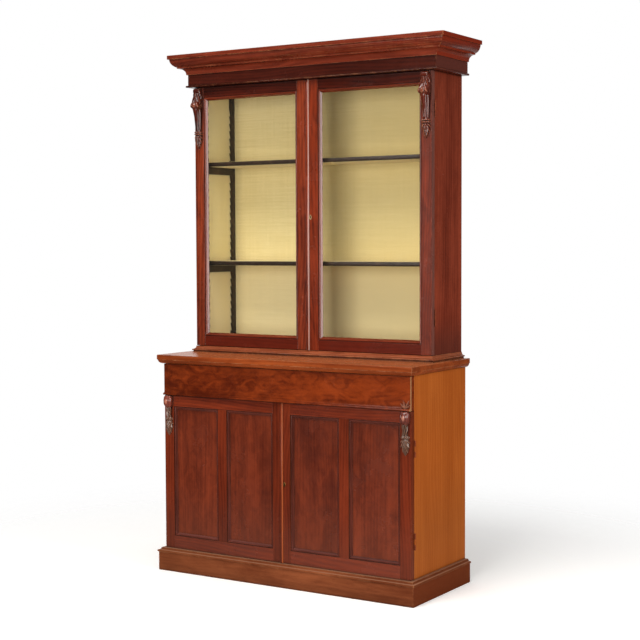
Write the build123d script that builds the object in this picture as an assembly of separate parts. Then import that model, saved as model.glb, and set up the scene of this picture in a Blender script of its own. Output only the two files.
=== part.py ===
from build123d import *
import os
from math import floor

# Glazed bookcase in two parts: a base with a frieze drawer over two panelled doors,
# and an upper case with two glazed doors, adjustable shelves and a moulded cornice.
# Millimetres. X to the right, front towards -Y, Z up from the floor, depths from the back.

# Cases
base_width = 1220.0
base_depth = 450.0
base_height = 809.0
upper_set_in = 19.0
upper_depth = 243.0
upper_height = 1170.0
side_thickness = 20.0
back_thickness = 12.0
back_board_width = 145.0
back_board_gap = 0.6
top_board_thickness = 20.0
upper_floor_lift = 18.0
upper_floor_thickness = 22.0
base_floor_thickness = 20.0

# Plinth
plinth_height = 80.0
plinth_thickness = 22.0
plinth_overhang = 23.0
plinth_block = 38.0
plinth_moulding_height = 18.0
plinth_moulding_nose = 5.0
plinth_moulding_width = 60.0

# Base top and the foot moulding of the upper case
base_top_thickness = 38.0
base_top_side_overhang = 20.0
base_top_front_overhang = 24.0
base_top_face = 21.0
base_top_quirk = 3.0
base_top_arris = 3.0
foot_height = 26.0
foot_overhang = 16.0
foot_plinth = 6.0
foot_nose = 6.0
foot_quirk = 5.0

# Cornice
frieze_height = 47.0
frieze_thickness = 20.0
frieze_side_overhang = 26.0
frieze_front_overhang = 14.0
soffit_height = 9.0
soffit_nose = 8.0
soffit_width = 50.0
crown_foot = 6.0
crown_foot_height = 3.0
crown_cove = 24.0
crown_fillet_width = 5.0
crown_fillet_height = 5.0
crown_ovolo_width = 24.0
crown_ovolo_height = 34.0
crown_fascia_step = 7.0
crown_fascia_height = 17.0
dust_cover_thickness = 10.0

# Doors in common
door_gap = 1.0
reveal = 2.0
meeting_gap = 1.5
meeting_offset = 7.0
meeting_bead_width = 14.5
meeting_bead_proud = 6.5
meeting_bead_quirk = 1.5

# Glazed doors
glazed_thickness = 24.0
glazed_stile = 47.0
glazed_meeting_half = 52.0
glazed_bottom_rail = 43.0
glazed_top_rail = 42.0
glazing_width = 15.0
glazing_roll = 8.5
glazing_fillet = 1.5
glazing_sunk = 0.5
glass_thickness = 3.0
glass_clearance = 0.6
back_bead_width = 9.0
back_bead_depth = 7.0

# Panelled doors
panel_door_height = 668.0
panelled_thickness = 26.0
panelled_stile = 49.0
panelled_meeting_half = 44.0
panelled_bottom_rail = 54.0
panelled_top_rail = 47.0
muntin_width = 46.0
panel_thickness = 8.0
panel_inset = 10.0
panel_groove = 7.0
panel_clearance = 0.4
panel_moulding_width = 13.0
panel_moulding_roll = 6.0
panel_moulding_fillet = 1.5
panel_moulding_sunk = 0.8

# Frieze drawer
drawer_front_proud = 4.0
drawer_end_set = 1.0
drawer_lip = 10.0
drawer_lip_height = 8.0
drawer_cove_height = 7.0
drawer_side_thickness = 12.0
drawer_bottom_thickness = 8.0
drawer_bottom_lift = 10.0
drawer_side_gap = 2.0
drawer_head_gap = 20.0
drawer_length = 390.0
dust_board_thickness = 18.0
runner_thickness = 6.0
runner_width = 30.0
runner_gap = 0.3
kicker_height = 16.0
cupboard_shelf_height = 330.0
cupboard_shelf_thickness = 18.0
cupboard_shelf_depth = 390.0

# Adjustable shelves: toothed racks, loose bearers and cloth-covered boards
lining_thickness = 1.0
rack_thickness = 12.0
rack_width = 27.0
rack_front_set = 5.0
rack_pitch = 33.7
rack_tooth_depth = 9.0
rack_first_tooth = 43.0
rack_head = 30.0
bearer_height = 32.0
bearer_clearance = 0.4
middle_shelf_tooth = 8
top_shelf_tooth = 21
shelf_thickness = 18.0
shelf_front_set = 23.0
shelf_lipping = 8.0
shelf_clearance = 1.5
shelf_seat_gap = 0.2

# Hinges, locks and door bolts
hinge_length = 66.0
hinge_end = 150.0
hinge_leaf_thickness = 1.6
hinge_leaf_gap = 0.4
hinge_leaf_width = 17.0
hinge_barrel_radius = 3.2
hinge_barrel_offset = 3.7
hinge_pin_radius = 1.6
hinge_running_clearance = 0.06
hinge_knuckle_gap = 0.3
lock_width = 36.0
lock_height = 52.0
lock_thickness = 9.0
lock_wall = 2.0
lock_bolt_height = 11.0
lock_bolt_thickness = 4.0
lock_throw = 8.0
lock_clearance = 0.3
glazed_lock_height = 566.0
panelled_lock_height = 332.0
keyhole_radius = 2.4
keyhole_slot = 8.0
keyhole_bead_gap = 2.0
escutcheon_rim = 1.6
escutcheon_depth = 3.0
bolt_inset = 20.0
bolt_plate_width = 18.0
bolt_plate_height = 74.0
bolt_plate_thickness = 2.0
bolt_radius = 3.5
bolt_length = 78.0
bolt_throw = 12.0
bolt_clearance = 0.4
bolt_head_gap = 2.0
bolt_stand_off = 4.0
bolt_keeper_height = 12.0
bolt_knob_radius = 3.0
bolt_knob_length = 6.0
bolt_block_width = 40.0
bolt_block_height = 16.0
bolt_block_clearance = 0.7

# Carved corbels: drops and projections measured down from the top and out from the door face
upper_corbel = {
    "height": 270.0,
    "half_width": 22.0,
    "scroll_drop": 28.0,
    "scroll_out": 29.0,
    "neck_out": 24.0,
    "neck_half": 18.0,
    "knee_drop": 76.0,
    "knee_out": 45.0,
    "knee_half": 22.0,
    "stem_top_drop": 118.0,
    "stem_out": 15.0,
    "stem_half": 14.0,
    "collar_drop": 193.0,
    "collar_height": 16.0,
    "collar_out": 21.0,
    "collar_half": 18.0,
    "leaf_drop": 228.0,
    "leaf_out": 18.0,
    "leaf_half": 18.0,
    "tip": 2.0,
}
lower_corbel = {
    "height": 174.0,
    "half_width": 20.0,
    "scroll_drop": 10.0,
    "scroll_out": 20.0,
    "neck_out": 19.0,
    "neck_half": 19.0,
    "knee_drop": 28.0,
    "knee_out": 27.0,
    "knee_half": 22.0,
    "stem_top_drop": 50.0,
    "stem_out": 10.0,
    "stem_half": 14.0,
    "collar_drop": 102.0,
    "collar_height": 16.0,
    "collar_out": 15.0,
    "collar_half": 18.0,
    "leaf_drop": 131.0,
    "leaf_out": 13.0,
    "leaf_half": 18.0,
    "tip": 2.0,
}
corbel_top_gap = 1.0

# Levels and planes that follow from the sizes above
base_half = base_width / 2
upper_half = base_half - upper_set_in
panelled_back = base_depth + door_gap
panelled_front = panelled_back + panelled_thickness
glazed_back = upper_depth + door_gap
glazed_front = glazed_back + glazed_thickness
drawer_face = panelled_front + drawer_front_proud
base_top_front = drawer_face + base_top_front_overhang
plinth_half = base_half + plinth_overhang
plinth_face = panelled_front + plinth_overhang
overall_depth = max(base_top_front, plinth_face + plinth_moulding_nose)
back_y = overall_depth / 2
plinth_top = plinth_height + plinth_moulding_height
base_top_under = plinth_top + base_height
base_top_level = base_top_under + base_top_thickness
panelled_foot = plinth_top + reveal
panelled_head = panelled_foot + panel_door_height
drawer_foot = panelled_head + reveal
drawer_head = base_top_under - reveal
dust_board_under = panelled_head + reveal / 2 - dust_board_thickness / 2
dust_board_level = dust_board_under + dust_board_thickness
base_floor_level = plinth_top + base_floor_thickness
foot_level = base_top_level + foot_height
upper_floor_under = base_top_level + upper_floor_lift
upper_floor_level = upper_floor_under + upper_floor_thickness
upper_head = base_top_level + upper_height
upper_ceiling = upper_head - top_board_thickness
glazed_foot = foot_level + reveal
glazed_head = upper_head - reveal
frieze_half = upper_half + frieze_side_overhang
frieze_face = glazed_front + frieze_front_overhang
frieze_foot = upper_head + soffit_height
crown_level = frieze_foot + frieze_height
crown_height = (crown_foot_height + crown_cove + crown_fillet_height
                + crown_ovolo_height + crown_fascia_height)
crown_projection = crown_foot + crown_cove + crown_fillet_width + crown_ovolo_width + crown_fascia_step
cornice_top = crown_level + crown_height
base_inner = base_half - side_thickness
upper_inner = upper_half - side_thickness
lined_half = upper_inner - lining_thickness
lined_back = back_thickness + lining_thickness
rack_inner = lined_half - rack_thickness
rear_rack_front = lined_back + rack_width
front_rack_front = upper_depth - rack_front_set
front_rack_rear = front_rack_front - rack_width
shelf_front_depth = upper_depth - shelf_front_set
meeting_line = -meeting_offset
hinge_recess = hinge_leaf_thickness - (door_gap - hinge_leaf_gap) / 2


# Basic shapes

def board(x0, x1, depth0, depth1, z0, z1):
    """Rectangular board between two x values, two depths from the back and two heights."""
    centre = ((x0 + x1) / 2, back_y - (depth0 + depth1) / 2, (z0 + z1) / 2)
    return Pos(*centre) * Box(abs(x1 - x0), abs(depth1 - depth0), abs(z1 - z0))


def plan_prism(corners, z0, z1):
    """Upright prism on a plan outline given as x and depth pairs."""
    points = [(x, back_y - depth) for x, depth in corners]
    face = make_face(Polyline(*points, close=True))
    return Pos(0, 0, z0) * extrude(face, z1 - z0, dir=(0, 0, 1))


def front_prism(face, depth0, depth1):
    """Face drawn in x and z, carried from one depth to another."""
    placed = Plane(origin=(0, back_y - depth0, 0), x_dir=(1, 0, 0), z_dir=(0, -1, 0)) * face
    return extrude(placed, depth1 - depth0, dir=(0, -1, 0))


def side_prism(face, x0, x1):
    """Face drawn in depth and z, carried from one x to another."""
    placed = Plane(origin=(x0, back_y, 0), x_dir=(0, -1, 0), z_dir=(-1, 0, 0)) * face
    return extrude(placed, x1 - x0, dir=(1, 0, 0))


def upright_rod(x, depth, z0, z1, radius):
    """Round rod standing on its axis at x and depth."""
    return Pos(x, back_y - depth, (z0 + z1) / 2) * Cylinder(radius, z1 - z0)


def quarter(start, end, centre):
    """Rounded corner: a quarter circle about the centre, or a flatter arc where the two legs differ."""
    begin = Vector(*start)
    finish = Vector(*end)
    first = begin - Vector(*centre)
    last = finish - Vector(*centre)
    flat, leg = (finish, last) if first.length > last.length else (begin, first)
    radius = (first.length ** 2 + last.length ** 2) / (2 * leg.length)
    hub = flat - leg.normalized() * radius
    middle = hub + (begin + finish - hub * 2).normalized() * radius
    return ThreePointArc(begin, middle, finish)


def outline(*pieces):
    """Closed face whose curves are given in order; straight lines join them where they part."""
    edges = []
    for piece in pieces:
        if edges and (edges[-1] @ 1 - piece @ 0).length > 1e-6:
            edges.append(Line(edges[-1] @ 1, piece @ 0))
        edges.append(piece)
    if (edges[-1] @ 1 - edges[0] @ 0).length > 1e-6:
        edges.append(Line(edges[-1] @ 1, edges[0] @ 0))
    return make_face(edges)


# Mouldings

def mitred_run(section, half_width, face_depth, inset, reach, z0, z1):
    """Front length and two returns of one moulding, mitred on the front corners.

    The section is drawn outwards from the face line, with heights from the floor.
    """
    front_plane = Plane(origin=(0, back_y - face_depth, 0), x_dir=(0, -1, 0), z_dir=(-1, 0, 0))
    right_plane = Plane(origin=(half_width, back_y, 0), x_dir=(1, 0, 0), z_dir=(0, -1, 0))
    inner = (half_width - inset, face_depth - inset)
    outer = (half_width + reach, face_depth + reach)
    front_plan = [inner, outer, (-outer[0], outer[1]), (-inner[0], inner[1])]
    right_plan = [inner, outer, (outer[0], 0), (inner[0], 0)]
    front = extrude(front_plane * section, outer[0], both=True)
    front = front & plan_prism(front_plan, z0, z1)
    right = extrude(right_plane * section, outer[1], dir=(0, -1, 0))
    right = right & plan_prism(right_plan, z0, z1)
    return [front, right, mirror(right, Plane.YZ)]


def mitred_frame(section, x0, x1, z0, z1, depth, width, forward):
    """Four lengths of moulding round the inside of an opening, mitred at the corners.

    The section is drawn inwards from the opening's edge and forwards from a depth,
    or backwards where forward is -1.
    """
    face_up = Vector(0, -forward, 0)
    middle_x = (x0 + x1) / 2
    middle_z = (z0 + z1) / 2
    y = back_y - depth
    run = max(x1 - x0, z1 - z0)
    outer = [(x0, z0), (x1, z0), (x1, z1), (x0, z1)]
    turns = [(1, 1), (-1, 1), (-1, -1), (1, -1)]
    inner = [(x + width * across, z + width * up) for (x, z), (across, up) in zip(outer, turns)]
    places = [
        ((middle_x, y, z0), (0, 0, 1)),
        ((x1, y, middle_z), (-1, 0, 0)),
        ((middle_x, y, z1), (0, 0, -1)),
        ((x0, y, middle_z), (1, 0, 0)),
    ]
    lengths = []
    for index, (origin, inward) in enumerate(places):
        following = (index + 1) % 4
        mitres = [outer[index], outer[following], inner[following], inner[index]]
        plane = Plane(origin=origin, x_dir=inward, z_dir=Vector(inward).cross(face_up))
        length = extrude(plane * section, run, both=True)
        wedge = front_prism(make_face(Polyline(*mitres, close=True)), depth - run, depth + run)
        lengths.append(length & wedge)
    return lengths


def moulded_slab(section_for, half_width, face_depth):
    """Slab whose front and end edges share one moulded section, square at the back."""
    front_plane = Plane(origin=(0, back_y - face_depth, 0), x_dir=(0, -1, 0), z_dir=(-1, 0, 0))
    right_plane = Plane(origin=(half_width, back_y, 0), x_dir=(1, 0, 0), z_dir=(0, -1, 0))
    run = half_width + face_depth
    front = extrude(front_plane * section_for(face_depth), run, both=True)
    right = extrude(right_plane * section_for(half_width), run, dir=(0, -1, 0))
    return front & (right + mirror(right, Plane.YZ))


def crown_section():
    """Fascia over an ovolo, a fillet, a cove and a small foot."""
    foot_head = crown_level + crown_foot_height
    cove_out = crown_foot + crown_cove
    cove_head = foot_head + crown_cove
    ovolo_in = cove_out + crown_fillet_width
    ovolo_foot = cove_head + crown_fillet_height
    ovolo_out = ovolo_in + crown_ovolo_width
    ovolo_head = ovolo_foot + crown_ovolo_height
    return outline(
        Line((0, crown_level), (crown_foot, crown_level)),
        quarter((crown_foot, foot_head), (cove_out, cove_head), (cove_out, foot_head)),
        Line((ovolo_in, cove_head), (ovolo_in, ovolo_foot)),
        quarter((ovolo_in, ovolo_foot), (ovolo_out, ovolo_head), (ovolo_in, ovolo_head)),
        Line((crown_projection, ovolo_head), (crown_projection, cornice_top)),
        Line((crown_projection, cornice_top), (0, cornice_top)),
    )


def soffit_section():
    """Flat frame under the frieze with a half-round nose."""
    radius = soffit_height / 2
    straight = soffit_nose - radius
    middle = upper_head + radius
    return outline(
        Line((-soffit_width, upper_head), (straight, upper_head)),
        ThreePointArc((straight, upper_head), (soffit_nose, middle), (straight, frieze_foot)),
        Line((straight, frieze_foot), (-soffit_width, frieze_foot)),
    )


def foot_section():
    """Foot of the upper case: low plinth, half-round nose and a cove up to the case."""
    neck = foot_overhang - foot_quirk
    nose_foot = base_top_level + foot_plinth
    nose_head = nose_foot + foot_nose
    nose_in = foot_overhang - foot_nose / 2
    cove_head = foot_level - foot_nose / 3
    cove_in = foot_nose / 3
    inner = glazed_front - upper_depth
    return outline(
        Line((-inner, base_top_level), (neck, base_top_level)),
        Line((neck, nose_foot), (nose_in, nose_foot)),
        ThreePointArc((nose_in, nose_foot), (foot_overhang, nose_foot + foot_nose / 2), (nose_in, nose_head)),
        quarter((nose_in, nose_head), (cove_in, cove_head), (nose_in, cove_head)),
        Line((cove_in, foot_level), (-inner, foot_level)),
    )


def plinth_moulding_section():
    """Flat frame on the plinth with a half-round nose and a cove up to the base case."""
    nose = plinth_moulding_height / 2
    nose_out = plinth_moulding_nose - nose / 2
    nose_head = plinth_height + nose
    cove_in = nose_out - (plinth_top - nose_head)
    return outline(
        Line((plinth_moulding_nose - plinth_moulding_width, plinth_height), (nose_out, plinth_height)),
        ThreePointArc((nose_out, plinth_height), (plinth_moulding_nose, plinth_height + nose / 2),
                      (nose_out, nose_head)),
        quarter((nose_out, nose_head), (cove_in, plinth_top), (nose_out, plinth_top)),
        Line((cove_in, plinth_top), (plinth_moulding_nose - plinth_moulding_width, plinth_top)),
    )


def base_top_section(inner):
    """Edge of the base top: rounded arris, flat face, quirk and an ovolo below."""
    face_foot = base_top_level - base_top_face
    ovolo = face_foot - base_top_under
    ovolo_out = -base_top_quirk
    return outline(
        Line((-inner, base_top_under), (ovolo_out - ovolo, base_top_under)),
        quarter((ovolo_out - ovolo, base_top_under), (ovolo_out, face_foot), (ovolo_out - ovolo, face_foot)),
        Line((0, face_foot), (0, base_top_level - base_top_arris)),
        quarter((0, base_top_level - base_top_arris), (-base_top_arris, base_top_level),
                (-base_top_arris, base_top_level - base_top_arris)),
        Line((-base_top_arris, base_top_level), (-inner, base_top_level)),
    )


def drawer_front_section():
    """Drawer front: flat face that coves out to a rounded lip along its foot."""
    inner = drawer_face - panelled_back
    lip_head = drawer_foot + drawer_lip_height
    cove_head = lip_head + drawer_cove_height
    round_in = drawer_lip - drawer_lip_height / 2
    return outline(
        Line((-inner, drawer_foot), (round_in, drawer_foot)),
        ThreePointArc((round_in, drawer_foot), (drawer_lip, drawer_foot + drawer_lip_height / 2),
                      (round_in, lip_head)),
        quarter((round_in, lip_head), (0, cove_head), (round_in, cove_head)),
        Line((0, cove_head), (0, drawer_head)),
        Line((0, drawer_head), (-inner, drawer_head)),
    )


def roll_section(width, height, roll, fillet):
    """Moulding inside a frame: a quirk, a round roll and a slope down to a fillet at its inner edge."""
    spring = height - roll / 2
    roll_end = fillet + roll
    return outline(
        Line((0, 0), (width, 0)),
        Line((width, 0), (width, fillet)),
        Line((width, fillet), (roll_end, spring)),
        ThreePointArc((roll_end, spring), (fillet + roll / 2, height), (fillet, spring)),
        Line((fillet, spring), (0, spring)),
    )


def bead_section(width, height):
    """Plain strip with one corner eased."""
    ease = min(width, height) / 3
    return outline(
        Line((0, 0), (width, 0)),
        Line((width, 0), (width, height - ease)),
        Line((width - ease, height), (0, height)),
    )


# Cases

def back_boards(half_width, z0, z1):
    """Upright back boards side by side between the case sides."""
    count = max(1, round(2 * half_width / back_board_width))
    width = (2 * half_width - (count - 1) * back_board_gap) / count
    boards = []
    for index in range(count):
        left = -half_width + index * (width + back_board_gap)
        boards.append(board(left, left + width, 0, back_thickness, z0, z1))
    return boards


def case_side(side, half_width, depth, z0, z1, hinge_levels):
    """Case side with the hinge leaves let into its front edge."""
    inner = side * (half_width - side_thickness)
    panel = board(inner, side * half_width, 0, depth, z0, z1)
    for level in hinge_levels:
        panel -= case_leaf_plate(side, half_width, depth, level, pocket=True)
    return panel


def plinth_boards():
    """Mitred front and returns, a back rail and glue blocks in the corners."""
    section = make_face(Polyline((-plinth_thickness, 0), (0, 0), (0, plinth_height),
                                 (-plinth_thickness, plinth_height), close=True))
    boards = mitred_run(section, plinth_half, plinth_face, plinth_thickness, 0, 0, plinth_height)
    inner = plinth_half - plinth_thickness
    boards.append(board(-inner, inner, 0, plinth_thickness, 0, plinth_height))
    front_inner = plinth_face - plinth_thickness
    for side in (-1, 1):
        near = side * (inner - plinth_block)
        far = side * inner
        boards.append(board(near, far, plinth_thickness, plinth_thickness + plinth_block, 0, plinth_height))
        boards.append(board(near, far, front_inner - plinth_block, front_inner, 0, plinth_height))
    return boards


def cornice_frieze():
    """Soffit frame with a half-round nose, and the frieze boards that stand on it."""
    pieces = mitred_run(soffit_section(), frieze_half, frieze_face, soffit_width, soffit_nose,
                        upper_head, frieze_foot)
    frieze_head = cornice_top - dust_cover_thickness
    section = make_face(Polyline((-frieze_thickness, frieze_foot), (0, frieze_foot), (0, frieze_head),
                                 (-frieze_thickness, frieze_head), close=True))
    pieces += mitred_run(section, frieze_half, frieze_face, frieze_thickness, 0, frieze_foot, frieze_head)
    inner = frieze_half - frieze_thickness
    pieces.append(board(-inner, inner, 0, frieze_thickness, frieze_foot, frieze_head))
    soffit_inner = frieze_half - soffit_width
    pieces.append(board(-soffit_inner, soffit_inner, 0, soffit_width, upper_head, frieze_foot))
    return pieces


def foot_moulding():
    """Moulding round the foot of the upper case, fitted over the case sides."""
    inset = glazed_front - upper_depth
    runs = mitred_run(foot_section(), upper_half, glazed_front, inset, foot_overhang,
                      base_top_level, foot_level)
    case = board(-upper_half, upper_half, 0, upper_depth, base_top_level, foot_level)
    return [run - case for run in runs]


# Adjustable shelving

def tooth_level(index):
    """Height of the ledge of one tooth."""
    return upper_floor_level + rack_first_tooth + index * rack_pitch


def rack_outline(flat, toothed):
    """Rack strip in depth and z, with saw teeth cut into one edge."""
    inward = -rack_tooth_depth if toothed > flat else rack_tooth_depth
    usable = upper_ceiling - upper_floor_level - rack_first_tooth - rack_head
    teeth = floor(usable / rack_pitch)
    points = [(flat, upper_floor_level), (toothed, upper_floor_level)]
    for index in range(teeth):
        points.append((toothed, tooth_level(index)))
        points.append((toothed + inward, tooth_level(index)))
    points.append((toothed, tooth_level(teeth)))
    points += [(toothed, upper_ceiling), (flat, upper_ceiling)]
    return make_face(Polyline(*points, close=True))


def shelf_racks():
    """Four toothed uprights in the corners of the upper case."""
    racks = []
    for flat, toothed in ((lined_back, rear_rack_front), (front_rack_front, front_rack_rear)):
        rack = side_prism(rack_outline(flat, toothed), rack_inner, lined_half)
        racks += [rack, mirror(rack, Plane.YZ)]
    return racks


def shelf_bearers():
    """Loose bearers whose ends are cut to the slope of the teeth."""
    slope = rack_tooth_depth * bearer_height / rack_pitch
    rear = rear_rack_front - rack_tooth_depth + bearer_clearance
    front = front_rack_rear + rack_tooth_depth - bearer_clearance
    bearers = []
    for tooth in (middle_shelf_tooth, top_shelf_tooth):
        foot = tooth_level(tooth)
        head = foot + bearer_height
        face = make_face(Polyline((rear, foot), (front, foot), (front - slope, head),
                                  (rear + slope, head), close=True))
        bearer = side_prism(face, rack_inner, lined_half)
        bearers += [bearer, mirror(bearer, Plane.YZ)]
    return bearers


def shelf(tooth):
    """Shelf board notched round the racks, and its front lipping."""
    foot = tooth_level(tooth) + bearer_height + shelf_seat_gap
    head = foot + shelf_thickness
    half = lined_half - shelf_clearance
    notch = rack_inner - shelf_clearance
    rear = lined_back + shelf_clearance
    lipping_rear = shelf_front_depth - shelf_lipping
    rear_notch = rear_rack_front + shelf_clearance
    front_notch = front_rack_rear - shelf_clearance
    panel = board(-half, half, rear, lipping_rear, foot, head)
    for side in (-1, 1):
        panel -= board(side * notch, side * upper_half, 0, rear_notch, foot, head)
        panel -= board(side * notch, side * upper_half, front_notch, upper_depth, foot, head)
    radius = shelf_thickness / 2
    straight = shelf_front_depth - radius / 2
    nose = outline(
        Line((lipping_rear, foot), (straight, foot)),
        ThreePointArc((straight, foot), (shelf_front_depth, (foot + head) / 2), (straight, head)),
        Line((straight, head), (lipping_rear, head)),
    )
    return panel, side_prism(nose, -notch, notch)


# Hinges

def hinge_levels(foot, head):
    """Middle heights of the two hinges of a door."""
    return [foot + hinge_end, head - hinge_end]


def leaf_span(half_width):
    """Distances of a leaf's inner and outer edges from the case centre."""
    return half_width - hinge_leaf_width, half_width


def case_leaf_plate(side, half_width, depth, level, pocket):
    """Flat leaf let into the case's front edge, or the pocket cut for it."""
    near, far = leaf_span(half_width)
    half = hinge_length / 2
    front = depth if pocket else depth - hinge_recess + hinge_leaf_thickness
    return board(side * near, side * far, depth - hinge_recess, front, level - half, level + half)


def door_leaf_plate(side, half_width, back, level, pocket):
    """Flat leaf let into the back of a door's outer stile, or the pocket cut for it."""
    near, far = leaf_span(half_width)
    half = hinge_length / 2
    rear = back if pocket else back + hinge_recess - hinge_leaf_thickness
    return board(side * near, side * far, rear, back + hinge_recess, level - half, level + half)


def hinge_axis(half_width, depth):
    """Distance of the pin from the case centre, and its depth."""
    return half_width + hinge_barrel_offset, depth + door_gap / 2


def case_leaf(side, half_width, depth, level):
    """Case leaf with its two outer knuckles and the pin."""
    axis, axis_depth = hinge_axis(half_width, depth)
    third = hinge_length / 3
    half = hinge_length / 2
    leaf = case_leaf_plate(side, half_width, depth, level, pocket=False)
    rear = depth - hinge_recess
    for foot in (level - half, level + half - third):
        head = foot + third
        leaf += board(side * half_width, side * axis, rear, rear + hinge_leaf_thickness, foot, head)
        leaf += upright_rod(side * axis, axis_depth, foot, head, hinge_barrel_radius)
    leaf += upright_rod(side * axis, axis_depth, level - half, level + half, hinge_pin_radius)
    return leaf


def door_leaf(side, half_width, depth, level):
    """Door leaf with its middle knuckle, bored to turn on the pin."""
    axis, axis_depth = hinge_axis(half_width, depth)
    back = depth + door_gap
    foot = level - hinge_length / 6 + hinge_knuckle_gap
    head = level + hinge_length / 6 - hinge_knuckle_gap
    front = back + hinge_recess
    leaf = door_leaf_plate(side, half_width, back, level, pocket=False)
    leaf += board(side * half_width, side * axis, front - hinge_leaf_thickness, front, foot, head)
    leaf += upright_rod(side * axis, axis_depth, foot, head, hinge_barrel_radius)
    bore = hinge_pin_radius + hinge_running_clearance
    return leaf - upright_rod(side * axis, axis_depth, foot, head, bore)


# Locks and door bolts

def keyhole(x, z, margin, depth0, depth1):
    """Keyhole: a round eye with a slot below, with a margin all round."""
    eye = Pos(x, z) * Circle(keyhole_radius + margin)
    slot_width = keyhole_radius + 2 * margin
    slot = Pos(x, z - keyhole_slot / 2) * Rectangle(slot_width, keyhole_slot + 2 * margin)
    return front_prism(eye + slot, depth0, depth1)


def lock_box(back, level):
    """Outside of the lock case, in the edge of the right meeting stile."""
    edge = meeting_line + meeting_gap / 2
    half = lock_height / 2
    return board(edge, edge + lock_width, back, back + lock_thickness, level - half, level + half)


def lock_bolt(back, level, margin):
    """Sliding bolt drawn back inside the lock, or the channel it runs in."""
    edge = meeting_line + meeting_gap / 2
    half = lock_bolt_height / 2 + margin
    middle = back + lock_thickness / 2
    thick = lock_bolt_thickness / 2 + margin
    far = edge + lock_width - lock_wall - lock_throw
    near = edge - margin if margin else edge + lock_clearance
    return board(near, far + margin, middle - thick, middle + thick, level - half, level + half)


def lock_strike(back, level):
    """Mortise for the thrown bolt in the edge of the left meeting stile."""
    edge = meeting_line - meeting_gap / 2
    half = lock_bolt_height / 2 + lock_clearance
    middle = back + lock_thickness / 2
    thick = lock_bolt_thickness / 2 + lock_clearance
    return board(edge - lock_throw, edge, middle - thick, middle + thick, level - half, level + half)


def keyhole_x():
    """Keyhole centre, clear of the meeting bead."""
    bead_edge = meeting_line + meeting_gap / 2 + meeting_bead_width
    return bead_edge + keyhole_bead_gap + escutcheon_rim + keyhole_radius


def lock_pieces(back, front, level):
    """Lock case with its bolt channel and key way, and the escutcheon round the keyhole."""
    case = lock_box(back, level) - lock_bolt(back, level, lock_clearance)
    case -= keyhole(keyhole_x(), level, 0, back + lock_thickness - lock_wall, back + lock_thickness)
    rim = keyhole(keyhole_x(), level, escutcheon_rim, front - escutcheon_depth, front)
    rim -= keyhole(keyhole_x(), level, 0, front - escutcheon_depth, front)
    return [case, rim]


def bolt_line(back):
    """Plan position of a left door's bolt: in from the meeting edge, behind the door."""
    x = meeting_line - meeting_gap / 2 - bolt_inset
    return x, back - bolt_plate_thickness - bolt_stand_off - bolt_radius


def bolt_case(back, head):
    """Plate on the back of a left door with two keepers that guide the bolt."""
    x, depth = bolt_line(back)
    plate_head = head - bolt_throw
    plate_foot = plate_head - bolt_plate_height
    half = bolt_plate_width / 2
    reach = bolt_radius + bolt_clearance + bolt_plate_thickness
    pieces = board(x - half, x + half, back - bolt_plate_thickness, back, plate_foot, plate_head)
    for foot in (plate_foot, plate_head - bolt_keeper_height):
        pieces += board(x - reach, x + reach, depth - reach, back, foot, foot + bolt_keeper_height)
    return pieces - upright_rod(x, depth, plate_foot, plate_head, bolt_radius + bolt_clearance)


def bolt_rod(back, head):
    """Round bolt drawn down clear of its block, with a finger knob."""
    x, depth = bolt_line(back)
    rod = upright_rod(x, depth, head - bolt_length, head, bolt_radius)
    middle = head - bolt_throw - bolt_plate_height / 2 - bolt_throw / 2
    reach = bolt_radius + bolt_knob_length
    knob = Cylinder(bolt_knob_radius, reach, align=(Align.CENTER, Align.CENTER, Align.MIN))
    return rod + Pos(x, back_y - depth, middle) * Rot(-90, 0, 0) * knob


def bolt_block(back, level):
    """Stop block under the case's top, mortised from behind for the thrown bolt."""
    x, depth = bolt_line(back)
    half = bolt_block_width / 2
    room = bolt_radius + bolt_block_clearance
    foot = level - bolt_block_height
    block = board(x - half, x + half, depth - room, back - door_gap, foot, level)
    return block - board(x - room, x + room, depth - room, depth + room, foot, level)


# Corbels

def corbel_edge(spec, outs):
    """Half outline down a corbel: scroll, knee, stem, collar and leaf."""
    top, scroll, neck, knee, stem, collar, leaf = outs
    collar_head = -spec["collar_drop"] + spec["collar_height"] / 2
    collar_foot = -spec["collar_drop"] - spec["collar_height"] / 2
    stem_middle = (-spec["stem_top_drop"] + collar_head) / 2
    return [
        ThreePointArc((top, 0), (scroll, -spec["scroll_drop"] / 2), (neck, -spec["scroll_drop"])),
        ThreePointArc((neck, -spec["scroll_drop"]), (knee, -spec["knee_drop"]),
                      (stem + spec["tip"], -spec["stem_top_drop"])),
        ThreePointArc((stem + spec["tip"], -spec["stem_top_drop"]), (stem, stem_middle), (stem, collar_head)),
        ThreePointArc((stem, collar_head), (collar, -spec["collar_drop"]), (stem, collar_foot)),
        ThreePointArc((stem, collar_foot), (leaf, -spec["leaf_drop"]), (spec["tip"], -spec["height"])),
    ]


def corbel(spec, x, front, head):
    """Corbel: its side outline carried across, trimmed to its front outline."""
    outs = [spec[key] for key in ("neck_out", "scroll_out", "neck_out", "knee_out", "stem_out",
                                  "collar_out", "leaf_out")]
    halves = [spec[key] for key in ("half_width", "half_width", "neck_half", "knee_half", "stem_half",
                                    "collar_half", "leaf_half")]
    side_face = outline(*corbel_edge(spec, outs), Line((0, -spec["height"]), (0, 0)))
    half_face = outline(*corbel_edge(spec, halves), Line((0, -spec["height"]), (0, 0)))
    half_face += mirror(half_face, Plane.YZ)
    reach = max(outs)
    across = max(halves)
    body = Plane(origin=(0, 0, 0), x_dir=(0, -1, 0), z_dir=(-1, 0, 0)) * side_face
    trim = Plane(origin=(0, 0, 0), x_dir=(1, 0, 0), z_dir=(0, -1, 0)) * half_face
    shape = extrude(body, across, both=True) & extrude(trim, reach, dir=(0, -1, 0))
    return Pos(x, back_y - front, head) * shape


# Doors

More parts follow.
